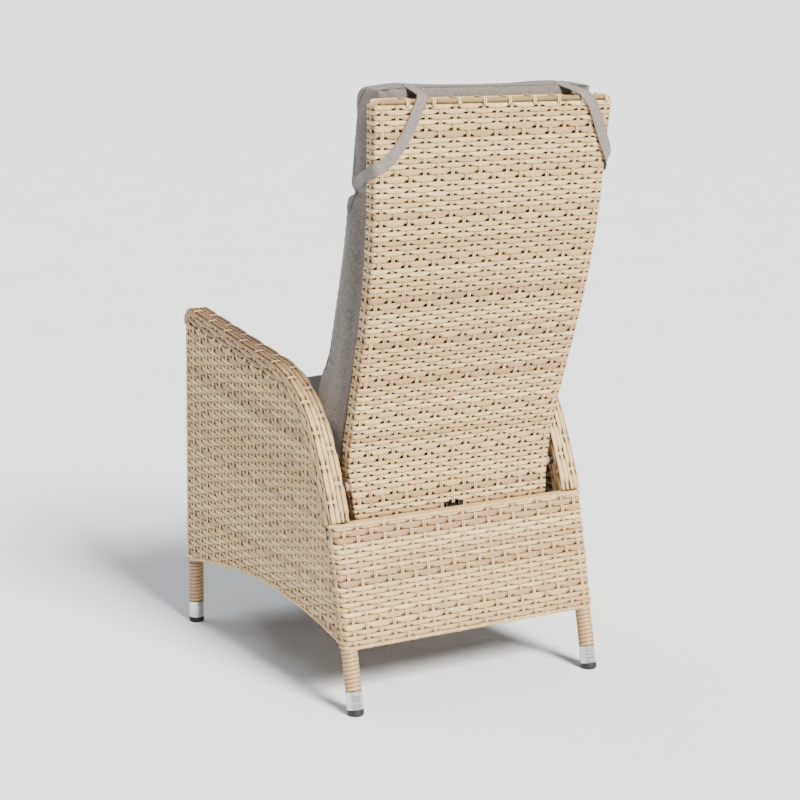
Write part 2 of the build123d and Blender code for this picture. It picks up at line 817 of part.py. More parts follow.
mid_track = back_track(-back_thickness / 2)
bar_z = back_bottom + back_skin + hoop_radius
bar_y = track_y(mid_track, bar_z)
hoop_top = back_top - hoop_edge
corner_points = [(bar_y, bar_z)] + tangent_corners(-back_thickness / 2) + [(track_y(mid_track, hoop_top), hoop_top)]
hoop_side = [(back_half(z) - hoop_edge, y, z) for y, z in corner_points]
hoop_points = hoop_side + [(-x, y, z) for x, y, z in reversed(hoop_side)]
hoop_low_bend = back_scale * back_low_radius + back_thickness / 2
hoop_high_bend = back_scale * back_high_radius - back_thickness / 2
hoop_bends = [hoop_low_bend, hoop_high_bend, hoop_bend, hoop_bend, hoop_high_bend, hoop_low_bend]


def hoop(radius):
    """Solid hoop of the back's frame, with its bottom bar."""
    with BuildPart() as made:
        with BuildLine() as path:
            FilletPolyline(*hoop_points, radius=hoop_bends)
        with BuildSketch(Plane(origin=path.wire() @ 0, z_dir=path.wire() % 0)):
            Circle(radius)
        sweep(path=path.wire())
        with BuildSketch(Plane.YZ):
            with Locations((bar_y, bar_z)):
                Circle(radius)
        extrude(amount=hoop_side[0][0], both=True)
    return made.part


hoop_solid = hoop(hoop_radius)
with BuildPart() as back_frame:
    add(hoop_solid)
    for side, sign in sides:
        with BuildSketch(Plane.YZ.offset(sign * boss_inner)):
            with Locations((pivot_y, pivot_z)):
                Circle(boss_radius)
        extrude(amount=sign * (boss_outer - boss_inner))
    add(hoop(hoop_radius - hoop_wall), mode=Mode.SUBTRACT)
    for side, sign in sides:
        with BuildSketch(Plane.YZ.offset(sign * boss_inner)):
            with Locations((pivot_y, pivot_z)):
                Circle(bush_radius + screwed_fit)
        extrude(amount=sign * (boss_outer - boss_inner), mode=Mode.SUBTRACT)
        with BuildSketch(Plane.YZ.offset(sign * boss_inner)):
            with Locations((pivot_y, pivot_z)):
                Circle(bolt_head_radius + pin_head)
        extrude(amount=-sign * overrun / 2, mode=Mode.SUBTRACT)
finish(back_frame, "back_frame")

with BuildPart() as back_cross_bars:
    for rise in back_bar_rises:
        height = back_bottom + back_scale * rise
        with BuildSketch(Plane.YZ):
            with Locations((track_y(mid_track, height), height)):
                Circle(back_bar_radius)
                Circle(back_bar_radius - hoop_wall, mode=Mode.SUBTRACT)
        extrude(amount=back_half(height) - hoop_edge, both=True)
    add(hoop_solid, mode=Mode.SUBTRACT)
finish(back_cross_bars, "back_cross_bars")

with BuildPart() as pivot_bushes:
    for side, sign in sides:
        with BuildSketch(Plane.YZ.offset(sign * boss_inner)):
            with Locations((pivot_y, pivot_z)):
                Circle(bush_radius)
        extrude(amount=sign * (boss_outer - boss_inner))
        with BuildSketch(Plane.YZ.offset(sign * boss_outer)):
            with Locations((pivot_y, pivot_z)):
                Circle(boss_radius)
        extrude(amount=sign * bush_flange)
        with BuildSketch(Plane.YZ.offset(sign * boss_inner)):
            with Locations((pivot_y, pivot_z)):
                Circle(pivot_bolt_radius + running_fit)
        extrude(amount=sign * overrun, mode=Mode.SUBTRACT)
finish(pivot_bushes, "pivot_bushes")

with BuildPart() as back_weave:
    add(back_slab(0))
    add(back_slab(back_skin), mode=Mode.SUBTRACT)
    for side, sign in sides:
        with BuildSketch(Plane.YZ.offset(sign * boss_inner)):
            with Locations((pivot_y, pivot_z)):
                Circle(boss_radius + skin_gap)
        extrude(amount=sign * overrun, mode=Mode.SUBTRACT)
    with BuildSketch(Plane.XY.offset(back_bottom - overrun)):
        with Locations((0, spring_rear_y + eye_radius + 2 * pin_head)):
            slot_length = back_thickness + eye_radius + 2 * pin_head
            Rectangle(2 * lug_slot_half, slot_length, align=(Align.CENTER, Align.MAX))
    extrude(amount=overrun + lug_slot_rise, mode=Mode.SUBTRACT)
finish(back_weave, "back_weave")


# Gas spring: fittings on the frame and on the back
with BuildPart() as spring_lug:
    for sign in (1, -1):
        with BuildSketch(Plane.YZ.offset(sign * cheek_half - cheek / 2)):
            with Locations((bar_y, bar_z)):
                Circle(hoop_radius)
            with Locations((spring_rear_y, spring_z)):
                Circle(lug_radius)
            make_hull()
            with Locations((bar_y, bar_z)):
                Circle(hoop_radius + screwed_fit, mode=Mode.SUBTRACT)
            with Locations((spring_rear_y, spring_z)):
                Circle(lug_pin_radius + screwed_fit, mode=Mode.SUBTRACT)
        extrude(amount=cheek)
finish(spring_lug, "spring_lug")


def headed_pin(y, z, radius, half):
    """Pin across the chair with a head at each end."""
    with BuildPart() as made:
        with BuildSketch(Plane.YZ):
            with Locations((y, z)):
                Circle(radius)
        extrude(amount=half, both=True)
        for sign in (1, -1):
            with BuildSketch(Plane.YZ.offset(sign * half)):
                with Locations((y, z)):
                    Circle(pin_head_radius)
            extrude(amount=sign * pin_head)
    return made.part


with BuildPart() as lug_pin:
    add(headed_pin(spring_rear_y, spring_z, lug_pin_radius, cheek_half + cheek / 2 + screwed_fit))
finish(lug_pin, "lug_pin")

fork_half = head_width / 2 + cheek_gap + cheek
with BuildPart() as spring_bracket:
    bracket_top = cross_bar_height - cross_bar_radius
    with BuildSketch(Plane.XY.offset(bracket_top - cheek)):
        with Locations((0, spring_front_y)):
            Rectangle(2 * fork_half, 2 * cheek_half)
    extrude(amount=cheek)
    for sign in (1, -1):
        with BuildSketch(Plane.YZ.offset(sign * (fork_half - cheek / 2) - cheek / 2)):
            with BuildLine():
                Polyline(
                    (spring_front_y - cheek_half, bracket_top),
                    (spring_front_y + cheek_half, bracket_top),
                    (spring_front_y + lug_radius, spring_z - lug_radius),
                    (spring_front_y - lug_radius, spring_z - lug_radius),
                    close=True,
                )
            make_face()
            with Locations((spring_front_y, spring_z)):
                Circle(fitting_pin_radius + screwed_fit, mode=Mode.SUBTRACT)
        extrude(amount=cheek)
finish(spring_bracket, "spring_bracket")

with BuildPart() as spring_pin:
    add(headed_pin(spring_front_y, spring_z, fitting_pin_radius, fork_half + screwed_fit))
finish(spring_pin, "spring_pin")

along = Plane(origin=(0, spring_front_y, spring_z), x_dir=(1, 0, 0), z_dir=(0, 1, 0))
cylinder_end = cylinder_start + cylinder_length
eye_place = spring_rear_y - spring_front_y
with BuildPart() as gas_cylinder:
    with BuildSketch(along.offset(cylinder_start)):
        Circle(cylinder_radius)
    extrude(amount=cylinder_length)
    with BuildSketch(along.offset(cylinder_start + cylinder_cap)):
        Circle(cylinder_bore)
    extrude(amount=cylinder_length - 2 * cylinder_cap, mode=Mode.SUBTRACT)
    with BuildSketch(along.offset(cylinder_start)):
        Circle(rod_radius + running_fit)
    extrude(amount=cylinder_cap, mode=Mode.SUBTRACT)
    with BuildSketch(along.offset(cylinder_end)):
        Circle(neck_radius)
    extrude(amount=eye_place - cylinder_end)
    with BuildSketch(Plane.YZ):
        with Locations((spring_rear_y, spring_z)):
            Circle(eye_radius)
    extrude(amount=eye_thickness / 2, both=True)
    with BuildSketch(Plane.YZ):
        with Locations((spring_rear_y, spring_z)):
            Circle(eye_bore)
    extrude(amount=eye_thickness, both=True, mode=Mode.SUBTRACT)
finish(gas_cylinder, "gas_cylinder")

with BuildPart() as piston_rod:
    with BuildSketch(along.offset(rod_start)):
        Circle(rod_radius)
    extrude(amount=rod_end - rod_start)
    with BuildSketch(along.offset(rod_end - piston_length)):
        Circle(piston_radius)
    extrude(amount=piston_length)
    with BuildSketch(along.offset(rod_start)):
        Circle(rod_bore)
    extrude(amount=rod_bore_depth, mode=Mode.SUBTRACT)
finish(piston_rod, "piston_rod")

arm_pivot = (spring_front_y + arm_pivot_s, spring_z - arm_pivot_drop)
wire_line = Plane(origin=(0, spring_front_y, spring_z - wire_drop), x_dir=(1, 0, 0), z_dir=(0, 1, 0))
with BuildPart() as release_head:
    with BuildSketch(Plane.YZ):
        with Locations((spring_front_y - head_front, spring_z - head_bottom)):
            head_length = head_front + head_back
            Rectangle(head_length, head_top + head_bottom, align=(Align.MIN, Align.MIN))
    extrude(amount=head_width / 2, both=True)
    with BuildSketch(Plane.YZ):
        with BuildLine():
            Polyline(
                (spring_front_y - head_front + overlap, spring_z - head_bottom / 2),
                (spring_front_y - stop_start, spring_z - wire_drop + stop_half),
                (spring_front_y - stop_start, spring_z - stop_drop),
                (spring_front_y - stop_end, spring_z - stop_drop),
                (spring_front_y - stop_end, spring_z - wire_drop + stop_half),
                (spring_front_y - head_front + overlap, spring_z - head_bottom),
                close=True,
            )
        make_face()
    extrude(amount=stop_half, both=True)
    with BuildSketch(Plane.YZ):
        with Locations((spring_front_y + arm_slot_front, spring_z + arm_slot_top)):
            Rectangle(arm_slot_rear - arm_slot_front, overrun, align=(Align.MIN, Align.MAX))
    extrude(amount=arm_slot_half, both=True, mode=Mode.SUBTRACT)
    with BuildSketch(Plane.YZ):
        with Locations((spring_front_y, spring_z)):
            Circle(fitting_pin_radius + running_fit)
    extrude(amount=head_width, both=True, mode=Mode.SUBTRACT)
    with BuildSketch(Plane.YZ):
        with Locations(arm_pivot):
            Circle(trunnion_radius + running_fit)
    extrude(amount=trunnion_half + skin_gap, both=True, mode=Mode.SUBTRACT)
    with BuildSketch(along):
        Circle(plunger_radius + plunger_fit)
    extrude(amount=head_back, mode=Mode.SUBTRACT)
    with BuildSketch(along.offset(rod_start)):
        Circle(rod_radius + screwed_fit)
    extrude(amount=head_back, mode=Mode.SUBTRACT)
    with BuildSketch(wire_line.offset(-stop_start)):
        Circle(wire_hole)
    extrude(amount=stop_start - stop_end, mode=Mode.SUBTRACT)
finish(release_head, "release_head")

with BuildPart() as release_plunger:
    with BuildSketch(along.offset(plunger_start)):
        Circle(plunger_radius)
    extrude(amount=plunger_end - plunger_start)
finish(release_plunger, "release_plunger")

with BuildPart() as release_arm:
    with BuildSketch(Plane.YZ):
        with Locations((arm_pivot[0], arm_pivot[1] + (arm_reach_up - arm_reach_down) / 2)):
            SlotOverall(arm_reach_up + arm_reach_down, arm_breadth, rotation=90)
    extrude(amount=arm_half, both=True)
    with BuildSketch(Plane.YZ):
        with Locations(arm_pivot):
            Circle(trunnion_radius)
    extrude(amount=trunnion_half, both=True)
    with BuildSketch(wire_line):
        Circle(wire_eye)
    extrude(amount=arm_pivot_s + arm_breadth, mode=Mode.SUBTRACT)
finish(release_arm, "release_arm")

with BuildPart() as release_wire:
    with BuildSketch(wire_line.offset(-wire_start)):
        Circle(wire_radius)
    extrude(amount=wire_start + wire_end)
    with BuildSketch(wire_line.offset(wire_end)):
        Circle(nipple_radius)
    extrude(amount=nipple_length)
finish(release_wire, "release_wire")


# Release handle in its cup, and the cable to the spring's head
with BuildPart() as release_bezel:
    with BuildSketch(Plane.YZ.offset(-half_width)):
        with Locations((bezel_y, bezel_z)):
            Rectangle(bezel_length - 2 * skin_gap, bezel_height - 2 * skin_gap)
    extrude(amount=bezel_depth)
    with BuildSketch(Plane.YZ.offset(-half_width)):
        with Locations((bezel_y, bezel_z)):
            cup_height = bezel_height - 2 * bezel_wall
            Rectangle(bezel_length - 2 * bezel_wall, cup_height)
    extrude(amount=bezel_depth - bezel_wall, mode=Mode.SUBTRACT)
    lever_x = lever_inset + lever_knuckle - half_width
    with BuildSketch(Plane.XZ.offset(-bezel_y)):
        with Locations((lever_x, lever_pin_z)):
            Circle(lever_pin_radius + screwed_fit)
    extrude(amount=bezel_length, both=True, mode=Mode.SUBTRACT)
    cable_x = lever_x + lever_tail - lever_tail_thickness
    with BuildSketch(Plane.XY.offset(bezel_z - bezel_height)):
        with Locations((cable_x, bezel_y)):
            Circle(wire_hole)
    extrude(amount=bezel_height, mode=Mode.SUBTRACT)
finish(release_bezel, "release_bezel")

with BuildPart() as lever_pin:
    with BuildSketch(Plane.XZ.offset(-bezel_y)):
        with Locations((lever_x, lever_pin_z)):
            Circle(lever_pin_radius)
    extrude(amount=bezel_length / 2 - 2 * skin_gap, both=True)
finish(lever_pin, "lever_pin")

with BuildPart() as release_lever:
    with BuildSketch(Plane.XZ.offset(-bezel_y)):
        with BuildLine():
            face_x = lever_inset - half_width
            Polyline(
                (face_x, lever_pin_z),
                (face_x, lever_top),
                (face_x + lever_thickness, lever_top),
                (face_x + lever_thickness, lever_pin_z + lever_knuckle),
                (lever_x, lever_pin_z + lever_knuckle),
                (lever_x, lever_pin_z),
                close=True,
            )
        make_face()
        with Locations((lever_x, lever_pin_z)):
            Circle(lever_knuckle)
            Circle(lever_pin_radius + running_fit, mode=Mode.SUBTRACT)
    extrude(amount=lever_length / 2, both=True)
    with BuildSketch(Plane.XZ.offset(-bezel_y)):
        with Locations((lever_x + lever_pin_radius + overlap, lever_pin_z)):
            tail = lever_tail - lever_pin_radius - overlap
            Rectangle(tail, lever_tail_thickness, align=(Align.MIN, Align.CENTER))
    extrude(amount=lever_tail_half, both=True)
    with BuildSketch(Plane.XY.offset(lever_pin_z - lever_wire)):
        with Locations((cable_x, bezel_y)):
            Circle(wire_radius)
    extrude(amount=lever_wire)
finish(release_lever, "release_lever")

cable_start = (cable_x, bezel_y, bezel_z - bezel_height / 2)
cable_end = (0, spring_front_y - stop_start - skin_gap, spring_z - wire_drop)
cable_points = [cable_start]
for across, behind, down in cable_route:
    y = bezel_y + behind * (cable_end[1] - bezel_y)
    z = cable_start[2] + down * (cable_end[2] - cable_start[2])
    cable_points.append((across * (cable_inset - half_width), y, z))
cable_points.append(cable_end)
cable_bends = []
for before, here, after in zip(cable_points, cable_points[1:], cable_points[2:]):
    turn = (Vector(here) - Vector(before)).get_angle(Vector(after) - Vector(here))
    run = min((Vector(here) - Vector(before)).length, (Vector(after) - Vector(here)).length)
    cable_bends.append(bend_share * run / tan(radians(turn / 2)))
print("cable bend radii", [round(bend, 1) for bend in cable_bends])
with BuildPart() as release_cable:
    with BuildLine() as cable_path:
        FilletPolyline(*cable_points, radius=cable_bends)
    with BuildSketch(Plane(origin=cable_path.wire() @ 0, z_dir=cable_path.wire() % 0)):
        Circle(cable_radius)
    sweep(path=cable_path.wire())
cable_length = cable_path.wire().length
cable_volume = pi * cable_radius**2 * cable_length
print("cable length", round(cable_length, 1), "volume share", round(release_cable.part.volume / cable_volume, 4))
finish(release_cable, "release_cable")


# Cushions
back_front = back_track(-back_thickness - soft_gap)


def seat_outline(height, inset):
    """Side view of the seat cushion at one place across it."""
    low = seat_weave_top + soft_gap
    begin = front + seat_cushion_lip + inset
    end = seat_cushion_end - inset
    middle = low + height / 2
    top = low + height
    shoulder = height / 2
    return [
        ((begin + shoulder / 2, low), (end - shoulder / 2, low)),
        ((end - shoulder / 2, low), (end, middle), (end - shoulder, top - crown_drop / 2)),
        ((end - shoulder, top - crown_drop / 2), ((begin + end) / 2, top + crown_drop / 2), (begin + shoulder, top)),
        ((begin + shoulder, top), (begin, middle), (begin + shoulder / 2, low)),
    ]


def before_back(height, size):
    """Point a distance ahead of the back's front face."""
    return (track_y(back_front, height) - size, height)


def back_outline(low, waist, head, drop):
    """Side view of the back cushion at one place across it, run on behind the back's front face."""
    bottom = cushion_bottom + drop
    top = cushion_top - drop
    behind = depth / 2 + overrun
    knee = bottom + knee_share * (cushion_channel - bottom)
    foot_point = before_back(bottom, foot_share * low)
    knee_point = before_back(knee, waist)
    lip_point = before_back(cushion_channel - channel_half_height, lip_share * low)
    channel_point = before_back(cushion_channel, low * channel_depth / cushion_low_depth)
    head_lip_point = before_back(cushion_channel + channel_half_height, head_lip_share * head)
    brow = top - head / 2
    brow_point = before_back(brow, brow_share * head)
    top_point = before_back(top, top_share * head)
    return [
        ((behind, bottom), foot_point),
        (foot_point, before_back((bottom + knee) / 2, low), knee_point),
        (knee_point, before_back((knee + cushion_channel) / 2, waist), lip_point),
        (lip_point, channel_point),
        (channel_point, head_lip_point),
        (head_lip_point, before_back((cushion_channel + brow) / 2, head), brow_point),
        (brow_point, before_back(top - top_rise_share * head, crown_share * head), top_point),
        (top_point, (behind, top)),
    ]


def between(share, edge, full):
    """Value between the one at the cushion's edge and the one in its middle."""
    return edge + share * (full - edge)


cushion_knee = cushion_bottom + cushion_waist_depth
seat_cushion_end = before_back(cushion_knee, cushion_waist_depth)[0] - seat_cushion_gap
with BuildPart() as seat_cushion:
    seat_cushion_half = arm_inner_half - seat_cushion_side_gap
    for across, share in zip(across_shares, depth_shares):
        with BuildSketch(Plane.YZ.offset(across * seat_cushion_half)):
            with BuildLine():
                height = between(share, seat_cushion_edge, seat_cushion_height)
                draw(seat_outline(height, between(share, crown_drop / 2, 0)))
            make_face()
    loft()
finish(seat_cushion, "seat_cushion")

with BuildPart() as back_cushion:
    for across, share in zip(across_shares, depth_shares):
        low_depth = between(share, cushion_side_depth, cushion_low_depth)
        waist_depth = between(share, cushion_side_depth, cushion_waist_depth)
        head_depth = between(share, cushion_head_side, cushion_head_depth)
        with BuildSketch(Plane.YZ.offset(across * cushion_half)):
            with BuildLine():
                draw(outline(back_outline(low_depth, waist_depth, head_depth, between(share, cushion_corner_drop, 0))))
            make_face()
    loft()
    with BuildSketch(Plane.YZ):
        with BuildLine():
            draw(outline(back_front, [((depth, back_top + overrun), (depth, 0))]))
        make_face()
    extrude(amount=width, both=True, mode=Mode.SUBTRACT)
finish(back_cushion, "back_cushion")


# Straps that hold the cushion to the top corners of the back
rear_top = (track_y(back_track(0), back_top), back_top)
rear_plane = Plane(
    origin=(0, rear_top[0] + strap_gap, rear_top[1]),
    x_dir=(-1, 0, 0),
    z_dir=(0, cos(radians(back_end_lean)), -sin(radians(back_end_lean))),
)
side_face = back_half(strap_side_z + strap_width / 2) + strap_gap
side_rear = track_y(back_track(0), strap_side_z)
for side, sign in sides:
    strap_top_x = half_width - strap_tops[side]
    with BuildPart() as cushion_strap:
        with BuildSketch(rear_plane):
            with BuildLine():
                FilletPolyline(
                    (-sign * strap_top_x, strap_gap + strap_thickness),
                    (-sign * (half_width - strap_knees[side][0]), -strap_knees[side][1]),
                    (-sign * (side_face + strap_thickness), strap_side_z - back_top),
                    radius=strap_bend,
                )
            trace(line_width=strap_width)
        extrude(amount=strap_thickness)
        with BuildSketch(Plane.XY.offset(back_top + strap_gap)):
            with Locations((sign * strap_top_x, rear_top[0] + strap_gap + strap_thickness)):
                top_reach = back_thickness + strap_thickness - overlap / 2
                Rectangle(strap_width, top_reach, align=(Align.CENTER, Align.MAX))
        extrude(amount=strap_thickness)
        with BuildSketch(Plane.YZ.offset(sign * side_face)):
            with Locations((side_rear + strap_gap + strap_thickness, strap_side_z)):
                Rectangle(strap_side_reach, strap_width, align=(Align.MAX, Align.CENTER))
        extrude(amount=sign * strap_thickness)
    finish(cushion_strap, f"{side}_cushion_strap")
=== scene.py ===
import math

import bmesh
import bpy
import numpy as np
from mathutils import Matrix


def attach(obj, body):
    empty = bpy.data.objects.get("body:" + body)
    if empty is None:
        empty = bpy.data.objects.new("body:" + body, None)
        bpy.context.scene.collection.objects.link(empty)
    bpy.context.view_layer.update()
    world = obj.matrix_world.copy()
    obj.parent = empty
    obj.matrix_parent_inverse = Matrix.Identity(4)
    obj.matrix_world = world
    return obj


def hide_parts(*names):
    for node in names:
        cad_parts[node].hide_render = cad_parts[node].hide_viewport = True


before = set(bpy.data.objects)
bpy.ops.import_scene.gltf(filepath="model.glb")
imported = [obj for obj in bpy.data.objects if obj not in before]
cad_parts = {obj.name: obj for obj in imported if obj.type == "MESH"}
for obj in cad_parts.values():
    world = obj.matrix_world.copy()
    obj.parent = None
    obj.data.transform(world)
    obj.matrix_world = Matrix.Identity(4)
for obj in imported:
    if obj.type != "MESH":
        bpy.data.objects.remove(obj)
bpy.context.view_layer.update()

print("frame loaded:", len(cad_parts), "nodes")

# Sizes that the whole chair shares, in millimetres and degrees, the same as in the CAD part
chair = {
    "halfWidth": 282.5,
    "front": -348.465,
    "armInner": 241.0,
    "rearFoot": 316.535,
    "frontFoot": -332.465,
    "legX": 266.0,
    "legLean": 12.95,
    "bandDepth": 30.0,
    "apronTop": 344.5,
    "apronAtFloor": 333.935,  # where the rear apron's face would meet the floor
    "seatTop": 424.2,
}
mm = 0.001
leanSlope = math.tan(math.radians(chair["legLean"]))


# Side views: lines and arcs, sampled
def samplePath(start, heading, moves, grain=1.0):
    # A heading turns from up to the rear. A line goes on by its length, an arc by its radius and turn.
    y, z = start
    gone = 0.0
    parts = []
    for size, turn in moves:
        length = size if turn == 0 else size * math.radians(abs(turn))
        s = np.linspace(0, length, int(length / grain) + 2)
        if turn == 0:
            angle = np.full_like(s, math.radians(heading))
            ys = y + s * math.sin(math.radians(heading))
            zs = z + s * math.cos(math.radians(heading))
        else:
            sign = 1 if turn > 0 else -1
            angle = np.radians(heading + turn * s / length)
            first = math.radians(heading)
            ys = y + sign * size * (math.cos(first) - np.cos(angle))
            zs = z + sign * size * (np.sin(angle) - math.sin(first))
        parts.append(np.stack([gone + s, ys, zs, angle]))
        y, z = ys[-1], zs[-1]
        gone += length
        heading += turn
    path = np.concatenate(parts, axis=1)
    return {"s": path[0], "y": path[1], "z": path[2], "angle": path[3]}


def onPath(path, s):
    # The point at a length along the path, and the way out, to its right, as y and z
    y = np.interp(s, path["s"], path["y"])
    z = np.interp(s, path["s"], path["z"])
    angle = np.interp(s, path["s"], path["angle"])
    return y, z, np.cos(angle), -np.sin(angle)


armLook = {
    "slope": -81.47,  # heading of its straight upper side
    "halfLeg": 16.0,
    "rise": [(252.8, 0), (972.0, -15.37), (235.5, -53.15)],  # up the rear leg and round the elbow
    "nose": 24.0,
    "down": 520.0,
}
armFoot = chair["rearFoot"] + armLook["halfLeg"] / math.cos(math.radians(chair["legLean"]))
elbow = samplePath((armFoot, 0), -chair["legLean"], armLook["rise"])
noseY = chair["front"] + armLook["nose"] * (1 + math.cos(math.radians(armLook["slope"])))
armRun = (noseY - elbow["y"][-1]) / math.sin(math.radians(armLook["slope"]))
armMoves = armLook["rise"] + [(armRun, 0), (armLook["nose"], -180 - armLook["slope"]), (armLook["down"], 0)]
armPath = samplePath((armFoot, 0), -chair["legLean"], armMoves)
noseAt = elbow["s"][-1] + armRun  # length along the arm where its nose begins
bandInner = {
    "y": armPath["y"] - chair["bandDepth"] * np.cos(armPath["angle"]),
    "z": armPath["z"] + chair["bandDepth"] * np.sin(armPath["angle"]),
}
bandInner = {k: v[armPath["s"] <= noseAt + 1] for k, v in bandInner.items()}

backLook = {
    "foot": (227.93, 331.04),  # lowest point of its rear face
    "lean": -5.71,
    "moves": [(71.8, 0), (202.1, 22.0), (208.9, 0), (1282.0, -12.54), (160.0, 0)],
    "top": 1120.0,
    "halfWidths": [(331, 214), (435, 226.5), (520, 228.8), (1120, 256)],
    "topRound": 18.0,
    "footRound": 12.0,
    "edgeRound": 6.0,
    "footRoundTop": 343.0,
    "stakesPerHalf": 8.45,
    "sideStake": 10.0,
    "allStakes": 19,
    "pairAt": 829.0,
    "lugHalf": 21.0,  # slot for the spring's lug
    "lugTop": 346.0,
}
backPath = samplePath(backLook["foot"], backLook["lean"], backLook["moves"])
backThick = 34.0


def spread(values, at):
    # Straight lines between listed pairs
    pairs = np.array(values)
    return np.interp(at, pairs[:, 0], pairs[:, 1])


# Meshes
def facesOut(points, faces):
    # Faces turned so that their mesh points outwards
    a, b, c, d = (points[faces[:, i]] - points.mean(axis=0) for i in range(4))
    volume = sum((a * np.cross(first, second)).sum() for first, second in ((b, c), (c, d)))
    return faces[:, ::-1] if volume < 0 else faces


def addMesh(name, points, faces, lay=None, smooth=True):
    # Points are in millimetres; lay holds each one's metres along the strand, place across, tone and painted
    # shade for the creases
    mesh = bpy.data.meshes.new(name)
    points = np.asarray(points, dtype=np.float64)
    faces = facesOut(points, np.ascontiguousarray(faces, dtype=np.int32))
    mesh.vertices.add(len(points))
    mesh.vertices.foreach_set("co", (points * mm).astype(np.float32).ravel())
    mesh.loops.add(faces.size)
    mesh.loops.foreach_set("vertex_index", faces.ravel())
    mesh.polygons.add(len(faces))
    mesh.polygons.foreach_set("loop_start", np.arange(0, faces.size, 4, dtype=np.int32))
    mesh.polygons.foreach_set("use_smooth", np.full(len(faces), smooth))
    if lay is not None:
        lay = np.asarray(lay, dtype=np.float32)
        made = mesh.attributes.new("lay", "FLOAT_VECTOR", "POINT")
        made.data.foreach_set("vector", np.ascontiguousarray(lay[:, :3]).ravel())
        # The fourth measure is painted shade, darker in the strands' creases and hollows
        crease = mesh.attributes.new("crease", "FLOAT", "POINT")
        crease.data.foreach_set("value", np.ascontiguousarray(lay[:, 3]))
    mesh.update(calc_edges=True)
    mesh.validate()
    obj = bpy.data.objects.new(name, mesh)
    bpy.context.scene.collection.objects.link(obj)
    return obj


class Pile:
    # Gathers the strands of one piece and makes one mesh of them
    def __init__(self):
        self.points = []
        self.faces = []
        self.lay = []
        self.count = 0

    def put(self, points, faces, lay):
        self.points.append(points)
        self.faces.append(facesOut(points, faces) + self.count)
        self.lay.append(lay)
        self.count += len(points)

    def make(self, name, flip=False):
        points = np.concatenate(self.points)
        faces = np.concatenate(self.faces)
        if flip:
            points = points * (-1, 1, 1)
            faces = faces[:, ::-1]
        return addMesh(name, points, faces, np.concatenate(self.lay))


# Half-round outline of a strand: share of its half-width, share of its thickness
halfRound = np.array([(-1.0, 0.3), (-0.66, 0.82), (0.0, 1.0), (0.66, 0.82), (1.0, 0.3), (0.0, 0.0)])
edgeShade = np.array([0.42, 0.06, 0.0, 0.0, 0.2, 0.5])  # painted shade: how dark each corner is painted where the rows meet
diveShade = np.array([1.0, 0.95, 0.12, 0.0, 0.15, 1.0])  # more painted shade beside a stake, where the strand dives into the hollow
foldShare = np.array([1.0, 0.55, 0.0, 0.0, 0.0, 0.35])  # how far each corner folds back there


def tubeFaces(n, m):
    # Quads between n rings of m points
    i = np.arange(n - 1)[:, None] * m
    j = np.arange(m)[None, :]
    k = (j + 1) % m
    return np.stack([i + j, i + k, i + m + k, i + m + j], axis=-1).reshape(-1, 4)


def lengthAlong(line):
    return np.concatenate([[0], np.cumsum(np.linalg.norm(np.diff(line, axis=0), axis=1))])


def strand(pile, centre, across, out, upper, lower, thick, tone, hidden=0.0, fold=0.0):
    # A closed strand: the half-round outline carried along centre, its width from lower to upper
    n = len(centre)
    side = np.where(halfRound[:, 0] > 0, upper[:, None], lower[:, None]) * halfRound[:, 0]
    rise = halfRound[:, 1] * np.broadcast_to(thick, (n,))[:, None]
    rise = rise - fold * foldShare * np.broadcast_to(hidden, (n,))[:, None]
    points = centre[:, None, :] + side[..., None] * across[:, None, :] + rise[..., None] * out[:, None, :]
    m = len(halfRound)
    end = (n - 1) * m
    lowCap = [[0, 5, 2, 1], [2, 5, 4, 3]]
    highCap = [[end, end + 1, end + 2, end + 5], [end + 2, end + 3, end + 4, end + 5]]
    caps = np.array(lowCap + highCap)
    lay = np.empty((n, m, 4))
    lay[..., 0] = lengthAlong(centre)[:, None] * mm
    lay[..., 1] = halfRound[:, 0]
    lay[..., 2] = np.broadcast_to(tone, (n,))[:, None]
    # The fourth measure is painted shade: the corners are darkened, and more so beside a stake where the
    # strand dives
    lay[..., 3] = np.clip(edgeShade + diveShade * np.broadcast_to(hidden, (n,))[:, None], 0, 1)
    pile.put(points.reshape(-1, 3), np.concatenate([tubeFaces(n, m), caps]), lay.reshape(-1, 4))


def unit(vectors):
    return vectors / np.maximum(np.linalg.norm(vectors, axis=-1, keepdims=True), 1e-9)


def evenStrand(pile, centre, across, out, half, thick, tone):
    # A strand of one width
    width = np.full(len(centre), half)
    strand(pile, centre, across, out, width, width, thick, tone)


def lineOf(x, y, z):
    # A line of points; any of the three may be a single number
    return np.stack(np.broadcast_arrays(x, y, z), axis=-1)


def roundCorner(a, flat, r):
    # Straight across for flat, round a corner of radius r, then back: the way across, back and the turn
    turn = np.clip((a - flat) / r, 0, math.pi / 2)
    across = np.minimum(a, flat) + r * np.sin(turn)
    return across, r * (1 - np.cos(turn)) + np.clip(a - flat - math.pi / 2 * r, 0, None), turn


# The weave: rows pass over one pair of stakes and behind the next
weaveLook = {
    "spacing": 28.9,  # between pairs of stakes
    "wideRow": 11.9,
    "narrowRow": 8.9,
    "narrowPerPair": 6,  # narrow rows between two wide ones
    "samples": 8,  # per pair of stakes
    "base": -3.3,  # back of a row, from the woven surface
    "dip": 2.7,  # how far a row goes back behind its stakes
    "rowThick": 2.5,
    "swell": 1.07,  # rows press together, so each is drawn this much wider
    "pinch": -0.15,  # how much of its lower half a row loses beside them; less than none closes the hole
    "fold": 3.6,  # how far its lower edge folds back there
    "stakeHalf": 1.75,
    "stakeApart": 1.95,
    "stakeThick": 1.9,
    "stakeBase": -2.3,
    "stakeSway": 0.7,
    "stakePitch": 3.6,  # between samples
    "dipSpan": 0.42,  # share of the spacing over which a row goes back
    "holeFrom": 0.47,
    "holeSpan": 0.2,
    "slimmer": 0.08,  # how much of its upper half a row loses behind a stake
    "wideThick": 0.9,
    "narrowThick": 1.2,
}
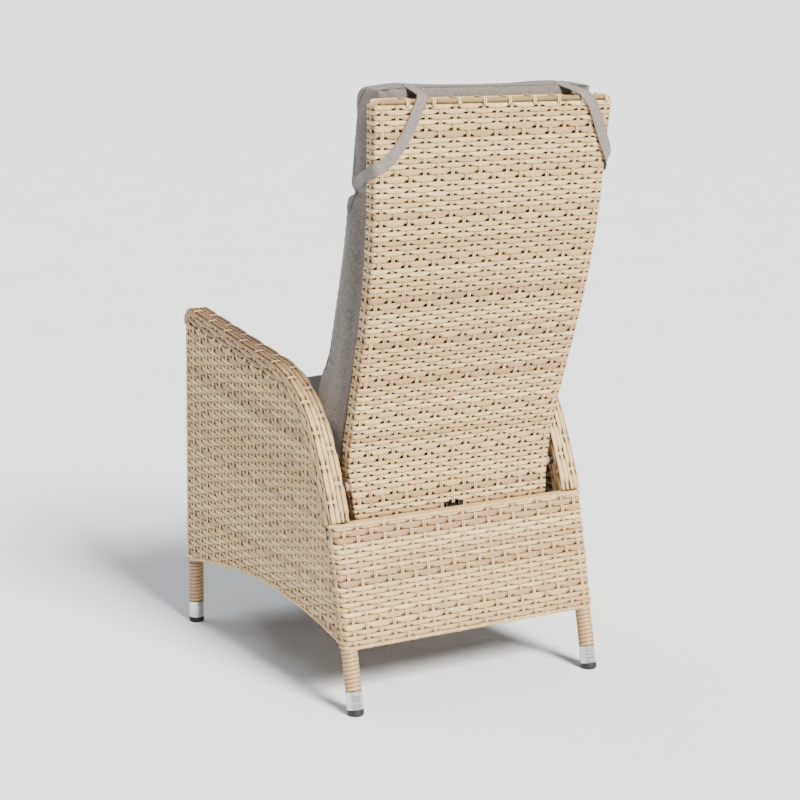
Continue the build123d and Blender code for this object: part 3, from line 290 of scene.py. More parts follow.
toneLook = {
    "plain": (0.08, 0.34),
    "wide": [0.28, 0.42, 0.55, 0.68],
    "darkShare": 0.16,  # of the narrow rows
    "dark": (0.36, 0.56),
    "drift": 0.12,  # how far a tone moves from one end to the other
    "stake": (0.05, 0.2),
}


def rowLadder(low, high, pairAt, look, squeeze=1.0):
    # Rows from low to high: two wide rows whose joint is at pairAt, then narrow ones, over and over
    wide, narrow, count = look["wideRow"] * squeeze, look["narrowRow"] * squeeze, look["narrowPerPair"]
    widths = [wide] + [narrow] * count + [wide]
    period = sum(widths)
    first = math.floor((low - pairAt) / period) - 1
    last = math.ceil((high - pairAt) / period) + 1
    edge = pairAt + first * period
    rows = []
    number = first * len(widths)
    for _ in range(first, last):
        for width in widths:
            centre = edge + width / 2
            if low + width * 0.3 < centre < high - width * 0.3:
                rows.append({"t": centre, "width": width, "number": number, "wide": width == wide})
            edge += width
            number += 1
    return rows


def ease(x):
    # Smooth step from 0 to 1
    x = np.clip(x, 0, 1)
    return x * x * (3 - 2 * x)


def layRow(pile, surface, q, row, look, tone):
    # The row goes back by dip behind each stake pair, and its lower edge folds back beside them, where it is
    # also painted darker as painted shade
    apart = np.abs((q - row["number"]) % 2 - 1)  # distance from the stake it passes behind, in spacings
    behind = ease((0.5 - apart) / look["dipSpan"])
    hole = ease((look["holeFrom"] - apart) / look["holeSpan"])
    t = np.full_like(q, row["t"])
    point, out = surface(q, t)
    above, _ = surface(q, t + 0.5)
    below, _ = surface(q, t - 0.5)
    across = unit(above - below)
    centre = point + out * (look["base"] + look["dip"] * (0.5 - behind))[:, None]
    half = row["width"] / 2 * look["swell"]
    upper = half * (1 - look["slimmer"] * behind)
    lower = half * (1 - look["pinch"] * hole)
    thick = look["rowThick"] * look["wideThick" if row.get("wide", True) else "narrowThick"]
    strand(pile, centre, across, out, upper, lower, thick, tone, hole, look["fold"])


def layStake(pile, surface, k, t, rows, look, tone):
    # A pair of thin strands on stake k, which sways out where a row passes behind it
    number = np.interp(t, [r["t"] for r in rows], [r["number"] for r in rows])
    sway = -look["stakeSway"] * np.cos(np.pi * (k - number))
    for side in (-1, 1):
        point, out = surface(np.full_like(t, float(k)), t)
        ahead, _ = surface(np.full_like(t, k + 0.02), t)
        across = unit(ahead - point)
        centre = point + out * (look["stakeBase"] + sway)[:, None] + across * side * look["stakeApart"]
        evenStrand(pile, centre, across, out, look["stakeHalf"], look["stakeThick"], tone)


def rowTone(rng, row, n):
    # Most rows are cream; wide ones and a few narrow ones may be tan or brownish
    base = rng.uniform(*toneLook["plain"])
    if row["wide"]:
        base = rng.choice(toneLook["wide"])
    elif rng.random() < toneLook["darkShare"]:
        base = rng.uniform(*toneLook["dark"])
    drift = rng.uniform(-toneLook["drift"], toneLook["drift"])
    return np.clip(base + drift * np.linspace(-1, 1, n), 0, 1)


def runs(mask):
    # First and last places of each unbroken stretch of a mask
    edges = np.diff(np.concatenate([[0], mask.astype(int), [0]]))
    return list(zip(np.where(edges == 1)[0], np.where(edges == -1)[0]))


def weave(name, surface, rows, qFrom, qTo, stakes, look, seed, inside=None, samples=None, flip=False):
    # Rows and stakes on a surface, cut off where inside says so
    rng = np.random.default_rng(seed)
    pile = Pile()
    samples = samples or look["samples"]
    q = np.linspace(qFrom, qTo, int(round((qTo - qFrom) * samples)) + 1)
    for row in rows:
        tone = rowTone(rng, row, len(q))
        keep = np.ones(len(q), bool) if inside is None else inside(q, np.full_like(q, row["t"]))
        for begin, end in runs(keep):
            if end - begin > 2:
                layRow(pile, surface, q[begin:end], row, look, tone[begin:end])
    low, high = rows[0]["t"] - rows[0]["width"] / 2, rows[-1]["t"] + rows[-1]["width"] / 2
    t = np.linspace(low, high, int((high - low) / look["stakePitch"]) + 2)
    for k in stakes:
        tone = rng.uniform(*toneLook["stake"])
        keep = np.ones(len(t), bool) if inside is None else inside(np.full_like(t, float(k)), t)
        for begin, end in runs(keep):
            if end - begin > 2:
                layStake(pile, surface, k, t[begin:end], rows, look, tone)
    return pile.make(name, flip)


# Bead of a woven edge, with slanted pairs of bindings round it
beadLook = {
    "sunk": 0.35,  # how deep the bead lies, as a share of its thickness
    "rise": 0.72,
    "settle": 0.1,
    "inset": 0.6,
    "pairHalf": 1.9,  # half the way between the two bindings of a pair
    "bindThick": 1.5,
    "bindDeep": 0.4,
    "bindTone": 0.08,
    "steps": 11,
    "endRoom": 4.0,
}


def edgeBead(pile, path, out, half, thick, tone, every=None, slant=3.0, reach=105.0, bindHalf=1.6):
    # The bead is a strand on path; each binding is an arc round it, from -reach to reach degrees
    look = beadLook
    out = np.broadcast_to(out, path.shape)
    ahead = unit(np.gradient(path, axis=0))
    evenStrand(pile, path - out * (thick * look["sunk"]), unit(np.cross(out, ahead)), out, half, thick, tone)
    if not every:
        return
    length = lengthAlong(path)
    angle = np.radians(np.linspace(-reach, reach, look["steps"]))
    for place in np.arange(every / 2, length[-1] - look["endRoom"], every):
        for shift in (-look["pairHalf"], look["pairHalf"]):
            at = place + shift + slant * np.sin(angle)
            mid, o, a = (
                np.stack([np.interp(at, length, line[:, i]) for i in range(3)], axis=1)
                for line in (path, out, ahead)
            )
            o, a = unit(o), unit(a)
            c = np.cross(o, a)
            radial = unit(np.cos(angle)[:, None] * o + np.sin(angle)[:, None] * c)
            ring = mid - o * (thick * look["settle"]) + c * (np.sin(angle) * (half - look["inset"]))[:, None]
            ring = ring + o * (np.cos(angle) * thick * look["rise"] - thick * look["settle"])[:, None]
            turn = unit(np.gradient(ring, axis=0))
            flat = unit(np.cross(radial, turn))
            centre = ring - radial * look["bindDeep"]
            evenStrand(pile, centre, flat, radial, bindHalf, look["bindThick"], look["bindTone"])


# The back panel: its rows run right round it
def roundOff(radius, into):
    # How far a corner of this radius draws in, this far into it
    return radius - np.sqrt(radius**2 - into**2)


def backHalf(z):
    look = backLook
    top = np.clip(z - (look["top"] - look["topRound"]), 0, look["topRound"])
    foot = np.clip(look["footRoundTop"] - z, 0, look["footRound"])
    return spread(look["halfWidths"], z) - roundOff(look["topRound"], top) - roundOff(look["footRound"], foot)


def backSurface(q, t):
    # Round the panel: rear face, rounded edge, side, edge, front face; t runs up the rear face
    y, z, outY, outZ = onPath(backPath, t)
    half = backHalf(z)
    r = backLook["edgeRound"]
    quarter = math.pi / 2 * r
    rear = half - r
    side = backThick - 2 * r
    total = 2 * rear + 2 * quarter + side
    step = half / backLook["stakesPerHalf"]
    sideStake = backLook["sideStake"]
    first = sideStake * step
    count = backLook["allStakes"] - sideStake
    size = np.abs(q)
    a = np.where(size < sideStake, size * step, first + (size - sideStake) * (total - first) / count)
    turn1 = np.clip((a - rear) / r, 0, math.pi / 2)
    turn2 = np.clip((a - rear - quarter - side) / r, 0, math.pi / 2)
    straight = np.clip(a - rear - quarter, 0, side)
    inward = np.clip(a - rear - 2 * quarter - side, 0, None)
    x = np.minimum(a, rear) + r * np.sin(turn1) - r * (1 - np.cos(turn2)) - inward
    d = r * (1 - np.cos(turn1)) + straight + r * np.sin(turn2)
    sign = np.where(q < 0, -1.0, 1.0)
    nx = sign * np.sin(turn1 + turn2)
    nd = -np.cos(turn1 + turn2)
    return lineOf(sign * x, y - d * outY, z - d * outZ), lineOf(nx, -nd * outY, -nd * outZ)


def onBack(z, part):
    # A part of the back's path at a height
    return float(np.interp(z, backPath["z"], backPath[part]))


backLength = onBack(backLook["top"], "s")
backRows = rowLadder(1.0, backLength - 7.0, onBack(backLook["pairAt"], "s"), weaveLook)
panelLook = dict(weaveLook, pinch=0.4)


def backLug(q, t):
    # Left out: the slot for the spring's lug low in the middle of the panel
    point, _ = backSurface(q, t)
    return ~((np.abs(point[..., 0]) < backLook["lugHalf"]) & (point[..., 2] < backLook["lugTop"]))


def frontOfBack(q, t):
    # Stakes go on round the panel past its front's middle, where they meet those from the other side
    middle = backLook["allStakes"]
    return backSurface(np.where(q > middle, q - 2 * middle, q), t)


panelRear = weave(
    "panel_rear_weave", backSurface, backRows, -10.2, 10.2, range(-10, 11), panelLook, 11, backLug,
)
panelFront = weave(
    "panel_front_weave", frontOfBack, backRows, 10.0, 28.0, range(11, 28), weaveLook, 12, samples=4,
)
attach(panelRear, "back")
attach(panelFront, "back")
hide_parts("back_weave")


topEdgeLook = {
    "half": 256.0,
    # each strand's distance from the rear face, its lift, its tilt and how much it stops short at both ends
    "strands": (
        (0.5, -1.2, -75, 9), (8.5, 0.2, 0, 1), (17.0, 0.5, 0, 1), (25.5, 0.2, 0, 1), (33.5, -1.2, 75, 9),
    ),
    "steps": 90,
    "fall": 20.0,
    "fallRound": 20.5,
    "sunk": 1.4,
    "lean": 0.3,
    "strandHalf": 4.6,
    "strandThick": 2.6,
    "strandDeep": 0.8,
    "bindEvery": 54.0,
    "bindReach": 240.0,
    "bindTurn": 0.55 * math.pi,
    "bindSteps": 25,
    "bindOver": 1.6,
    "bindDrop": 13.0,
    "bindFlatShare": 0.72,  # share of its turn before it drops
    "bindSlant": 5.0,
    "bindHalf": 1.7,
    "bindThick": 1.5,
    "bindTone": 0.06,
}


def panelEdge():
    # Strands that lie side by side over the panel's top edge, from its rear face to its front face
    look = topEdgeLook
    pile = Pile()
    rng = np.random.default_rng(5)
    yTop, zTop, outY, outZ = onPath(backPath, backLength)
    u = np.linspace(-1, 1, look["steps"])
    for place, lift, tilt, short in look["strands"]:
        x = u * (look["half"] - short)
        fall = np.clip(np.abs(x) - (look["half"] - look["fall"]), 0, look["fall"])
        drop = look["fallRound"] - np.sqrt(look["fallRound"] ** 2 - fall**2 + 0.01)
        z = zTop - look["sunk"] + lift - drop
        centre = lineOf(x, yTop - place * outY, z - place * outZ * look["lean"])
        ahead = unit(np.gradient(centre, axis=0))
        up = unit(np.cross(ahead, np.array([0.0, 1.0, 0.0])))
        up = np.where((up[:, 2:] < 0) & (np.abs(u)[:, None] < 0.9), -up, up)
        side = np.cross(ahead, up)
        cos, sin = math.cos(math.radians(tilt)), math.sin(math.radians(tilt))
        up, side = up * cos - side * sin, side * cos + up * sin
        tone = rng.uniform(0.1, 0.5)
        centre = centre - up * look["strandDeep"]
        evenStrand(pile, centre, side, up, look["strandHalf"], look["strandThick"], tone)
    angle = np.linspace(-look["bindTurn"], look["bindTurn"], look["bindSteps"])
    for place in np.arange(-look["bindReach"], look["bindReach"] + 1, look["bindEvery"]):
        for shift in (-beadLook["pairHalf"], beadLook["pairHalf"]):
            across = np.sin(angle) / math.sin(look["bindTurn"])
            d = backThick / 2 - (backThick / 2 + look["bindOver"]) * across
            rise = np.where(np.abs(np.sin(angle)) > 0.9, 0, 1)
            drop = np.clip(np.abs(angle) / look["bindTurn"] - look["bindFlatShare"], 0, 1)
            z = zTop + look["bindOver"] - look["bindDrop"] * drop / (1 - look["bindFlatShare"])
            x = place + shift + look["bindSlant"] * np.sin(angle) * rise
            centre = np.stack([x, yTop - d * outY, z - d * outZ * look["lean"]], axis=1)
            ahead = unit(np.gradient(centre, axis=0))
            flat = np.tile([1.0, 0.0, 0.0], (look["bindSteps"], 1))
            out = unit(np.cross(flat, ahead))
            out = out * np.sign(out[look["bindSteps"] // 2, 2])
            evenStrand(pile, centre, flat, out, look["bindHalf"], look["bindThick"], look["bindTone"])
    return pile.make("panel_top_edge")


panelTop = panelEdge()
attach(panelTop, "back")
print("back panel woven")


# Sides and front: rows that run round the chair, fanning from the arm's slope to level
sideLook = {
    "corner": 8.0,
    "pairAt": 312.0,
    "levelAt": 200.0,
    "slopeAt": 630.0,
    "slope": 8.5,
    "arch": ((chair["front"], 127.0), (-28.465, 168.0), (286.535, 126.0)),  # its foot, crown and rear foot
    "bandMargin": 8.5,
    "apronMargin": 13.0,
    # the release handle's cup
    "cup": {"y": -190.465, "z": 560.0, "halfLong": 51.5, "halfHigh": 23.5, "beyond": 280.0},
}
cornerLength = chair["halfWidth"] - sideLook["corner"] + math.pi / 2 * sideLook["corner"]


def rowHeight(t, y):
    # A row's height at the front edge is t; it falls to the rear by a slope that grows with t
    share = np.clip((t - sideLook["levelAt"]) / (sideLook["slopeAt"] - sideLook["levelAt"]), 0, 1.05)
    return t - math.tan(math.radians(sideLook["slope"])) * share * np.clip(y - chair["front"], 0, None)


def sideSurface(q, t):
    # From the middle of the front (q = 0) to the corner, round it and back along the left side
    r = sideLook["corner"]
    x, back, turn = roundCorner(q * weaveLook["spacing"], chair["halfWidth"] - r, r)
    y = chair["front"] + back
    return lineOf(x, y, rowHeight(t, y)), lineOf(np.sin(turn), -np.cos(turn), 0.0)


def innerSurface(q, t):
    # The arm's inner skin, from its front corner to the rear; q goes down as it goes back
    r = sideLook["corner"]
    x, back, turn = roundCorner(-q * weaveLook["spacing"], -chair["armInner"] - r, r)
    y = chair["front"] + back
    return lineOf(-x, y, rowHeight(t, y)), lineOf(-np.sin(turn), -np.cos(turn), 0.0)


def archHeight(y):
    # Circle through the arch's foot at the front, its crown and its foot at the rear
    (y0, z0), (y1, z1), (y2, z2) = sideLook["arch"]
    first = (y1**2 - y0**2 + z1**2 - z0**2) / 2
    second = (y2**2 - y1**2 + z2**2 - z1**2) / 2
    area = (y1 - y0) * (z2 - z1) - (y2 - y1) * (z1 - z0)
    cy = (first * (z2 - z1) - second * (z1 - z0)) / area
    cz = (second * (y1 - y0) - first * (y2 - y1)) / area
    reach = math.hypot(y0 - cy, z0 - cz)
    return cz + np.sqrt(np.maximum(reach**2 - (y - cy) ** 2, 0))


def apronFace(z):
    # The rear apron leans with the rear legs
    return chair["apronAtFloor"] - leanSlope * z


def underBand(y, z, margin):
    # True below and ahead of the inner line of the arm's binding
    return y < np.interp(z, bandInner["z"], bandInner["y"], right=-9999.0) + margin


def sideInside(q, t):
    # Beside the front apron, above the arch, inside the arm's binding and ahead of the rear apron
    point, _ = sideSurface(q, t)
    x, y, z = point[..., 0], point[..., 1], point[..., 2]
    keep = (x > chair["armInner"] - 1) & (z > archHeight(y) + 2) & underBand(y, z, sideLook["bandMargin"])
    return keep & ((z > chair["apronTop"] - 1) | (y < apronFace(z) - sideLook["apronMargin"]))


def handleInside(q, t):
    # The right side also leaves room for the cup of the release handle
    cup = sideLook["cup"]
    point, _ = sideSurface(q, t)
    level = np.abs(point[..., 2] - cup["z"]) < cup["halfHigh"]
    inCup = level & (np.abs(point[..., 1] - cup["y"]) < cup["halfLong"]) & (point[..., 0] > cup["beyond"])
    return sideInside(q, t) & ~inCup


def innerInside(q, t):
    # Above the seat and inside the arm's binding
    point, _ = innerSurface(q, t)
    y, z = point[..., 1], point[..., 2]
    return (z > chair["seatTop"] + 2) & underBand(y, z, 6.0)


sideRows = rowLadder(128.0, 660.0, sideLook["pairAt"], weaveLook)
flatLook = dict(weaveLook, pinch=0.0, rowThick=2.0, dip=1.9, fold=3.4)
sideEnd = (cornerLength + 640.0) / weaveLook["spacing"]
sidePieces = []
for side, flip, inside in (("left", False, sideInside), ("right", True, handleInside)):
    skin = weave(
        f"{side}_side_weave_strands", sideSurface, sideRows, 8.3, sideEnd, range(9, int(sideEnd) + 1),
        flatLook, 21 + flip, inside, flip=flip,
    )
    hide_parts(f"{side}_side_weave")
    sidePieces.append(skin)
for side, flip in (("left", False), ("right", True)):
    skin = weave(
        f"{side}_inner_weave_strands", innerSurface, sideRows, -11.5, 8.75, range(-11, 9), flatLook,
        23 + flip, innerInside, samples=6, flip=flip,
    )
    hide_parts(f"{side}_inner_weave")
    sidePieces.append(skin)


def frontSurface(q, t):
    point = lineOf(q * weaveLook["spacing"], chair["front"], t)
    return point, np.broadcast_to((0.0, -1.0, 0.0), point.shape)


frontRows = [row for row in sideRows if row["t"] < chair["seatTop"] - 2]
apronFront = weave(
    "front_apron_strands", frontSurface, frontRows, -8.44, 8.44, range(-8, 9), weaveLook, 25,
)
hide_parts("front_apron_weave")
for piece in sidePieces + [apronFront]:
    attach(piece, "frame")
print("sides and front woven")


# Rear apron: level rows round both rear corners
apronLook = {
    "corner": 17.0,
    "past": 7.0,  # how far it goes on beyond each corner
    "low": 124.0,
    "high": 342.0,
    "pairAt": 243.0,
    "topBead": 341.0,
    "topInset": 2.2,
    "bottomBead": 123.5,
    "bottomInset": 2.4,
    "lipHalf": 251.0,
    "lipHeight": 341.6,
    "lipStrands": (7.5, 14.5),  # how far ahead of its face two more strands cover the folded top
}


def apronSurface(q, t):
    # Across the rear from its middle, round a corner and a little way along the side
    r = apronLook["corner"]
    x, back, turn = roundCorner(np.abs(q) * weaveLook["spacing"], chair["halfWidth"] - r, r)
    sign = np.where(q < 0, -1.0, 1.0)
    out = unit(lineOf(sign * np.sin(turn), np.cos(turn), leanSlope * np.cos(turn)))
    return lineOf(sign * x, apronFace(t) - back, t), out


apronRows = rowLadder(apronLook["low"], apronLook["high"], apronLook["pairAt"], weaveLook)
apronEnd = chair["halfWidth"] + (math.pi / 2 - 1) * apronLook["corner"] + apronLook["past"]
apronReach = apronEnd / weaveLook["spacing"]
apronRear = weave(
    "rear_apron_strands", apronSurface, apronRows, -apronReach, apronReach, range(-10, 11), weaveLook, 31,
)
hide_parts("rear_apron_weave")
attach(apronRear, "frame")


# Each bead's half-width, thickness and tone, and its bindings' distance, slant, reach and half-width
edgeLook = {
    "rearTop": {
        "half": 5.2, "thick": 3.8, "tone": 0.3, "every": 55.0, "slant": 4.5, "reach": 100.0, "bindHalf": 1.7,
    },
    "rearFoot": {"half": 4.4, "thick": 4.6, "tone": 0.35, "every": 50.0, "slant": 2.5},
    "lip": {"half": 3.7, "thick": 2.4, "tone": 0.3},
    "arch": {"half": 4.3, "thick": 4.4, "tone": 0.35, "every": 50.0, "slant": 2.5},
    "frontLeg": {"half": 4.3, "thick": 4.4, "tone": 0.35},
    "front": {"half": 4.6, "thick": 4.2, "tone": 0.3, "every": 52.0},
    "sideInset": 2.6,  # behind the woven surface
    "archLift": 3.2,
    "frontLegHeight": 130.0,
    "frontInset": 2.8,
    "frontHeights": ((131.0, -0.3), (421.6, 0.8)),  # and how much each faces up
}


def apronEdges():
    # The top edge is folded over its rail; the bottom edge is a round bead with bindings
    pile = Pile()
    q = np.linspace(-apronReach, apronReach, 160)
    point, out = apronSurface(q, np.full_like(q, apronLook["topBead"]))
    up = unit(out * 0.8 + np.array([0.0, 0.0, 0.85]))
    edgeBead(pile, point - out * apronLook["topInset"], up, **edgeLook["rearTop"])
    point, out = apronSurface(q, np.full_like(q, apronLook["bottomBead"]))
    down = unit(out * 0.9 - np.array([0.0, 0.0, 0.35]))
    edgeBead(pile, point - out * apronLook["bottomInset"], down, **edgeLook["rearFoot"])
    x = np.linspace(-apronLook["lipHalf"], apronLook["lipHalf"], 90)
    for depth in apronLook["lipStrands"]:
        centre = lineOf(x, apronFace(chair["apronTop"]) - depth, apronLook["lipHeight"])
        evenStrand(pile, centre, np.array([[0.0, 1.0, 0.0]]), np.array([[0.0, 0.0, 1.0]]), **edgeLook["lip"])
    return pile.make("rear_apron_edges")


def sideEdges(flip):
    # The bead along the arch, from the front leg to the rear corner, and a short one across that leg
    pile = Pile()
    inset = edgeLook["sideInset"]
    y = np.linspace(chair["front"] + 4, apronFace(128) - 18, 120)
    path = lineOf(chair["halfWidth"] - inset, y, archHeight(y) + edgeLook["archLift"])
    edgeBead(pile, path, unit(np.array([0.95, 0.0, -0.3])), **edgeLook["arch"])
    x = np.linspace(chair["armInner"], chair["halfWidth"] - 4, 14)
    path = lineOf(x, chair["front"] + inset, edgeLook["frontLegHeight"])
    edgeBead(pile, path, unit(np.array([0.0, -0.95, -0.3])), **edgeLook["frontLeg"])
    return pile.make(("right" if flip else "left") + "_side_edge", flip)


def frontEdges():
    # Beads along the bottom and the top of the front apron
    pile = Pile()
    x = np.linspace(-chair["armInner"], chair["armInner"], 90)
    for z, rise in edgeLook["frontHeights"]:
        path = lineOf(x, chair["front"] + edgeLook["frontInset"], z)
        edgeBead(pile, path, unit(np.array([0.0, -0.9, rise])), **edgeLook["front"])
    return pile.make("front_apron_edges")


edges = [apronEdges(), sideEdges(False), sideEdges(True), frontEdges()]
for piece in edges:
    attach(piece, "frame")
print("aprons woven")


# Arm bindings: long strands over the arm tube, crossed by pairs of bindings
bandLook = {
    "spacing": 33.0,
    "round": 6.0,
    # Painted shade: from here the binding is toned darker towards the nose, where less light falls on the arm
    "shadeFrom": 560.0,  # along the arm from the floor
    "shadeOver": 240.0,
    "lowest": 346.0,
    "noseTurn": 98.5,
    "pastNose": 9.0,
    "stakesFrom": -1.5,
    "stakesTo": 99.5,
    "tieFrom": 4.0,
    "tieFall": 13.0,
    "tieApart": 1.8,  # half the way between the two of a pair
    "tieSlant": 5.0,
    "tieHalf": 1.35,
    "tieThick": 1.5,
    "tieDeep": 1.2,
    "stakeTone": 0.04,
    "tone": (0.2, 0.5),
    # how far the painted shade moves the binding's tone towards brown
    "brown": 0.4,
    "pitch": 5.0,  # between samples
    "noseShare": 0.28,  # how much shallower the binding is round the nose
    "noseMiddle": 20.0,
    "noseSpan": 30.0,
    # place of each strand's middle, its width and whether it starts over or under
    "strands": (
        (5.2, 9.6, 0), (14.6, 9.6, 1), (24.0, 9.6, 0),
        (34.6, 11.0, 1), (44.9, 9.4, 1), (54.2, 9.4, 0), (64.4, 11.0, 0),
        (75.0, 9.6, 1), (84.4, 9.6, 0), (93.8, 9.6, 1),
    ),
}


def bandSurface(q, w):
    # Along the arm by q spacings; w goes from the outer side's edge over the arm to the inner side
    s = q * bandLook["spacing"]
    r = bandLook["round"]
    depth = chair["bandDepth"] - r
    flat = chair["halfWidth"] - chair["armInner"] - 2 * r
    quarter = math.pi / 2 * r
    turn1 = np.clip((w - depth) / r, 0, math.pi / 2)
    turn2 = np.clip((w - depth - quarter - flat) / r, 0, math.pi / 2)
    down = np.clip(depth - w, 0, None) + np.clip(w - depth - 2 * quarter - flat, 0, None)
    d = down + r * (1 - np.sin(turn1)) + r * (1 - np.cos(turn2))
    top = np.clip(w - depth - quarter, 0, flat)
    x = chair["halfWidth"] - r * (1 - np.cos(turn1)) - top - r * np.sin(turn2)
    y, z, outY, outZ = onPath(armPath, s)
    nose = np.exp(-(((s - noseAt - bandLook["noseMiddle"]) / bandLook["noseSpan"]) ** 2))
    d = d * (1 - bandLook["noseShare"] * nose)
    tilt = turn1 + turn2
    out = lineOf(np.cos(tilt), np.sin(tilt) * outY, np.sin(tilt) * outZ)
    return lineOf(x, y - d * outY, z - d * outZ), out


bandWeave = dict(
    weaveLook, base=-1.5, dip=1.7, rowThick=2.2, pinch=0.1, fold=1.5, stakeHalf=1.45, stakeApart=1.7,
)


def armBand(side, flip, seed):
    # Strands along the arm, from the rear apron over the elbow to below the nose, and their bindings
    look = bandLook
    rng = np.random.default_rng(seed)
    pile = Pile()
    rise = slice(len(elbow["z"]))
    begin = float(np.interp(look["lowest"], armPath["z"][rise], armPath["s"][rise]))
    end = noseAt + armLook["nose"] * math.radians(look["noseTurn"]) + look["pastNose"]
    q = np.linspace(begin, end, int((end - begin) / look["pitch"])) / look["spacing"]
    # Share of painted shade along the arm, growing towards the nose
    shadeShare = ease((q * look["spacing"] - look["shadeFrom"]) / look["shadeOver"])
    rows = [{"t": w, "width": width, "number": parity} for w, width, parity in look["strands"]]
    for row in rows:
        tone = rng.uniform(*look["tone"]) + look["brown"] * shadeShare
        drift = rng.uniform(-toneLook["drift"], toneLook["drift"]) * np.linspace(-1, 1, len(q))
        layRow(pile, bandSurface, q, row, bandWeave, np.clip(tone + drift, 0, 1))
    w = np.linspace(look["stakesFrom"], look["stakesTo"], 72)
    first = int(math.ceil(q[0] + 0.3))
    for k in range(first, int(q[-1]) + 1):
        layStake(pile, bandSurface, k, w, rows, bandWeave, look["stakeTone"])
    # Light loops tie the binding's edge to the side's weave
    share = np.linspace(0, 1, 9)
    lift = 1.0 + 1.6 * np.sin(np.pi * share) - 4.5 * share**3
    for k in range(first, int(q[-1]) - 1):
        for shift in (-look["tieApart"], look["tieApart"]):
            w = look["tieFrom"] - look["tieFall"] * share
            point, out = bandSurface(k + (shift + look["tieSlant"] * share) / look["spacing"], w)
            flat = np.cross(out, unit(np.gradient(point, axis=0)))
            centre = point + out * (lift - look["tieDeep"])[:, None]
            evenStrand(pile, centre, flat, out, look["tieHalf"], look["tieThick"], 0.0)
    piece = pile.make(f"{side}_arm_binding", flip)
    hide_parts(f"{side}_arm_band")
    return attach(piece, "frame")


bands = [armBand("left", False, 41), armBand("right", True, 42)]
print("arms bound")


# Seat weave, under the cushion
def seatSurface(q, t):
    point = lineOf(q * weaveLook["spacing"], t, chair["seatTop"])
    return point, np.broadcast_to((0.0, 0.0, 1.0), point.shape)


seatRows = rowLadder(-343.0, 176.0, 0.0, weaveLook)
seatWeave = weave(
    "seat_weave_strands", seatSurface, seatRows, -8.3, 8.3, range(-8, 9), weaveLook, 51, samples=4,
)
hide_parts("seat_weave")
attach(seatWeave, "frame")


# Leg coverings: one strand wound round each leg
legLook = {
    "pitch": 7.6,
    "core": 13.7,
    "crown": 1.75,
    "endRadius": 13.0,
    "inside": 0.97,  # share of that radius where the sleeve closes
    "around": 40,
    "tone": 0.45,
    "rear": (44.4, 122.5),
    "front": (44.4, 126.5),
}


def legWrap(name, x, rear):
    # Radius is the core plus the crown times a half-round of the place across the strand
    low, high = legLook["rear" if rear else "front"]
    around = legLook["around"]
    h = np.linspace(low, high, int((high - low) / legLook["pitch"] * 7) + 1)[:, None]
    angle = np.linspace(0, 2 * math.pi, around, endpoint=False)[None, :]
    share = ((h - low) / legLook["pitch"] - angle / (2 * math.pi)) % 1.0
    radius = legLook["core"] + legLook["crown"] * np.sqrt(np.clip(1 - (2 * share - 1) ** 2, 0, 1))
    radius[[0, -1]] = legLook["endRadius"]
    lean = math.radians(chair["legLean"]) if rear else 0.0
    py = radius * np.sin(angle)
    base = chair["rearFoot"] if rear else chair["frontFoot"]
    y = base + py * math.cos(lean) - h * math.sin(lean)
    points = lineOf(x + radius * np.cos(angle), y, h * math.cos(lean) + py * math.sin(lean))
    ends = h[[0, -1]]
    centre = lineOf(x, base - ends * math.sin(lean), ends * math.cos(lean))
    inner = centre + (points[[0, -1]] - centre) * legLook["inside"]
    grid = np.concatenate([inner[:1], points, inner[1:], inner[:1]])
    faces = tubeFaces(len(grid), around)
    across = 2 * share - 1
    tone = np.full_like(share, legLook["tone"])
    along = (h * 12 + angle * 15.0) * mm  # roughly the length of strand wound so far
    # The fourth measure is painted shade: each turn darkens towards its edges, where it meets the next
    lay = np.stack([along, across, tone, 0.9 * np.abs(across) ** 3], axis=-1)
    lay = np.concatenate([lay[:1], lay, lay[-1:], lay[:1]])
    last = (len(grid) - 1) * around
    faces = np.where(faces >= last, faces - last, faces)
    piece = addMesh(name + "_strand", grid[:-1].reshape(-1, 3), faces, lay[:-1].reshape(-1, 4))
    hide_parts(name)
    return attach(piece, "frame")


wraps = []
for side, sign in (("left", 1), ("right", -1)):
    wraps.append(legWrap(f"rear_{side}_leg_wrap", sign * chair["legX"], True))
    wraps.append(legWrap(f"front_{side}_leg_wrap", sign * chair["legX"], False))
print("legs wound")


# Cushions: each starts from its CAD solid, softened and filled by a cloth simulation
backCushionLook = {
    "name": "back_cushion_cover",
    "node": "back_cushion",
    "voxel": 5.0,
    "soften": 4,  # rounds of smoothing before it is filled
    "shrink": 1.5,
    "pressure": 4.0,
    "cap": 9.0,  # furthest that a point moves while it fills
    "stretch": (946.0, 1.085),  # above this height it stands this much taller
    "channel": 946.0,
    "channelHalf": 6.0,
    "channelDeep": 3.0,
    "sideSeam": 27.0,  # behind the cushion's front edge
    "seamHalf": 2.6,
    "seamDeep": 2.8,
    "seamFrom": (445, 460),
    "topSeamFrom": (1110, 1120),
    "ridge": 1.2,  # how far the cloth stands up beside the seam
    "sides": (195, 225),  # where its depth is read
    "heights": (430.0, 1146.0, 5.0),
    # height and depth of the head's sides
    "headDepth": ((950, 97), (965, 101), (1000, 99), (1040, 95), (1079, 91), (1112, 82), (1141, 66)),
}
seatCushionLook = {
    "name": "seat_cushion_cover",
    "node": "seat_cushion",
    "voxel": 5.0,
    "soften": 4,
    "shrink": 1.5,
    "stretch": (424.6, 1.12),
    "pressure": 4.0,
    "cap": 8.0,
    "seams": (440.0, 478.0),
    "seamHalf": 2.2,
    "seamDeep": 2.0,
}
fillFrames = 20


def panelFace(z):
    # Front face of the back panel at a height
    y = backPath["y"] - backThick * np.cos(backPath["angle"])
    zz = backPath["z"] + backThick * np.sin(backPath["angle"])
    return np.interp(z, zz, y)


def readVertices(obj, what, unitSize):
    values = np.empty(len(obj.data.vertices) * 3, dtype=np.float32)
    obj.data.vertices.foreach_get(what, values)
    return values.reshape(-1, 3).astype(np.float64) / unitSize


def verticesOf(obj):
    return readVertices(obj, "co", mm)


def vertexNormals(obj):
    return readVertices(obj, "normal", 1.0)


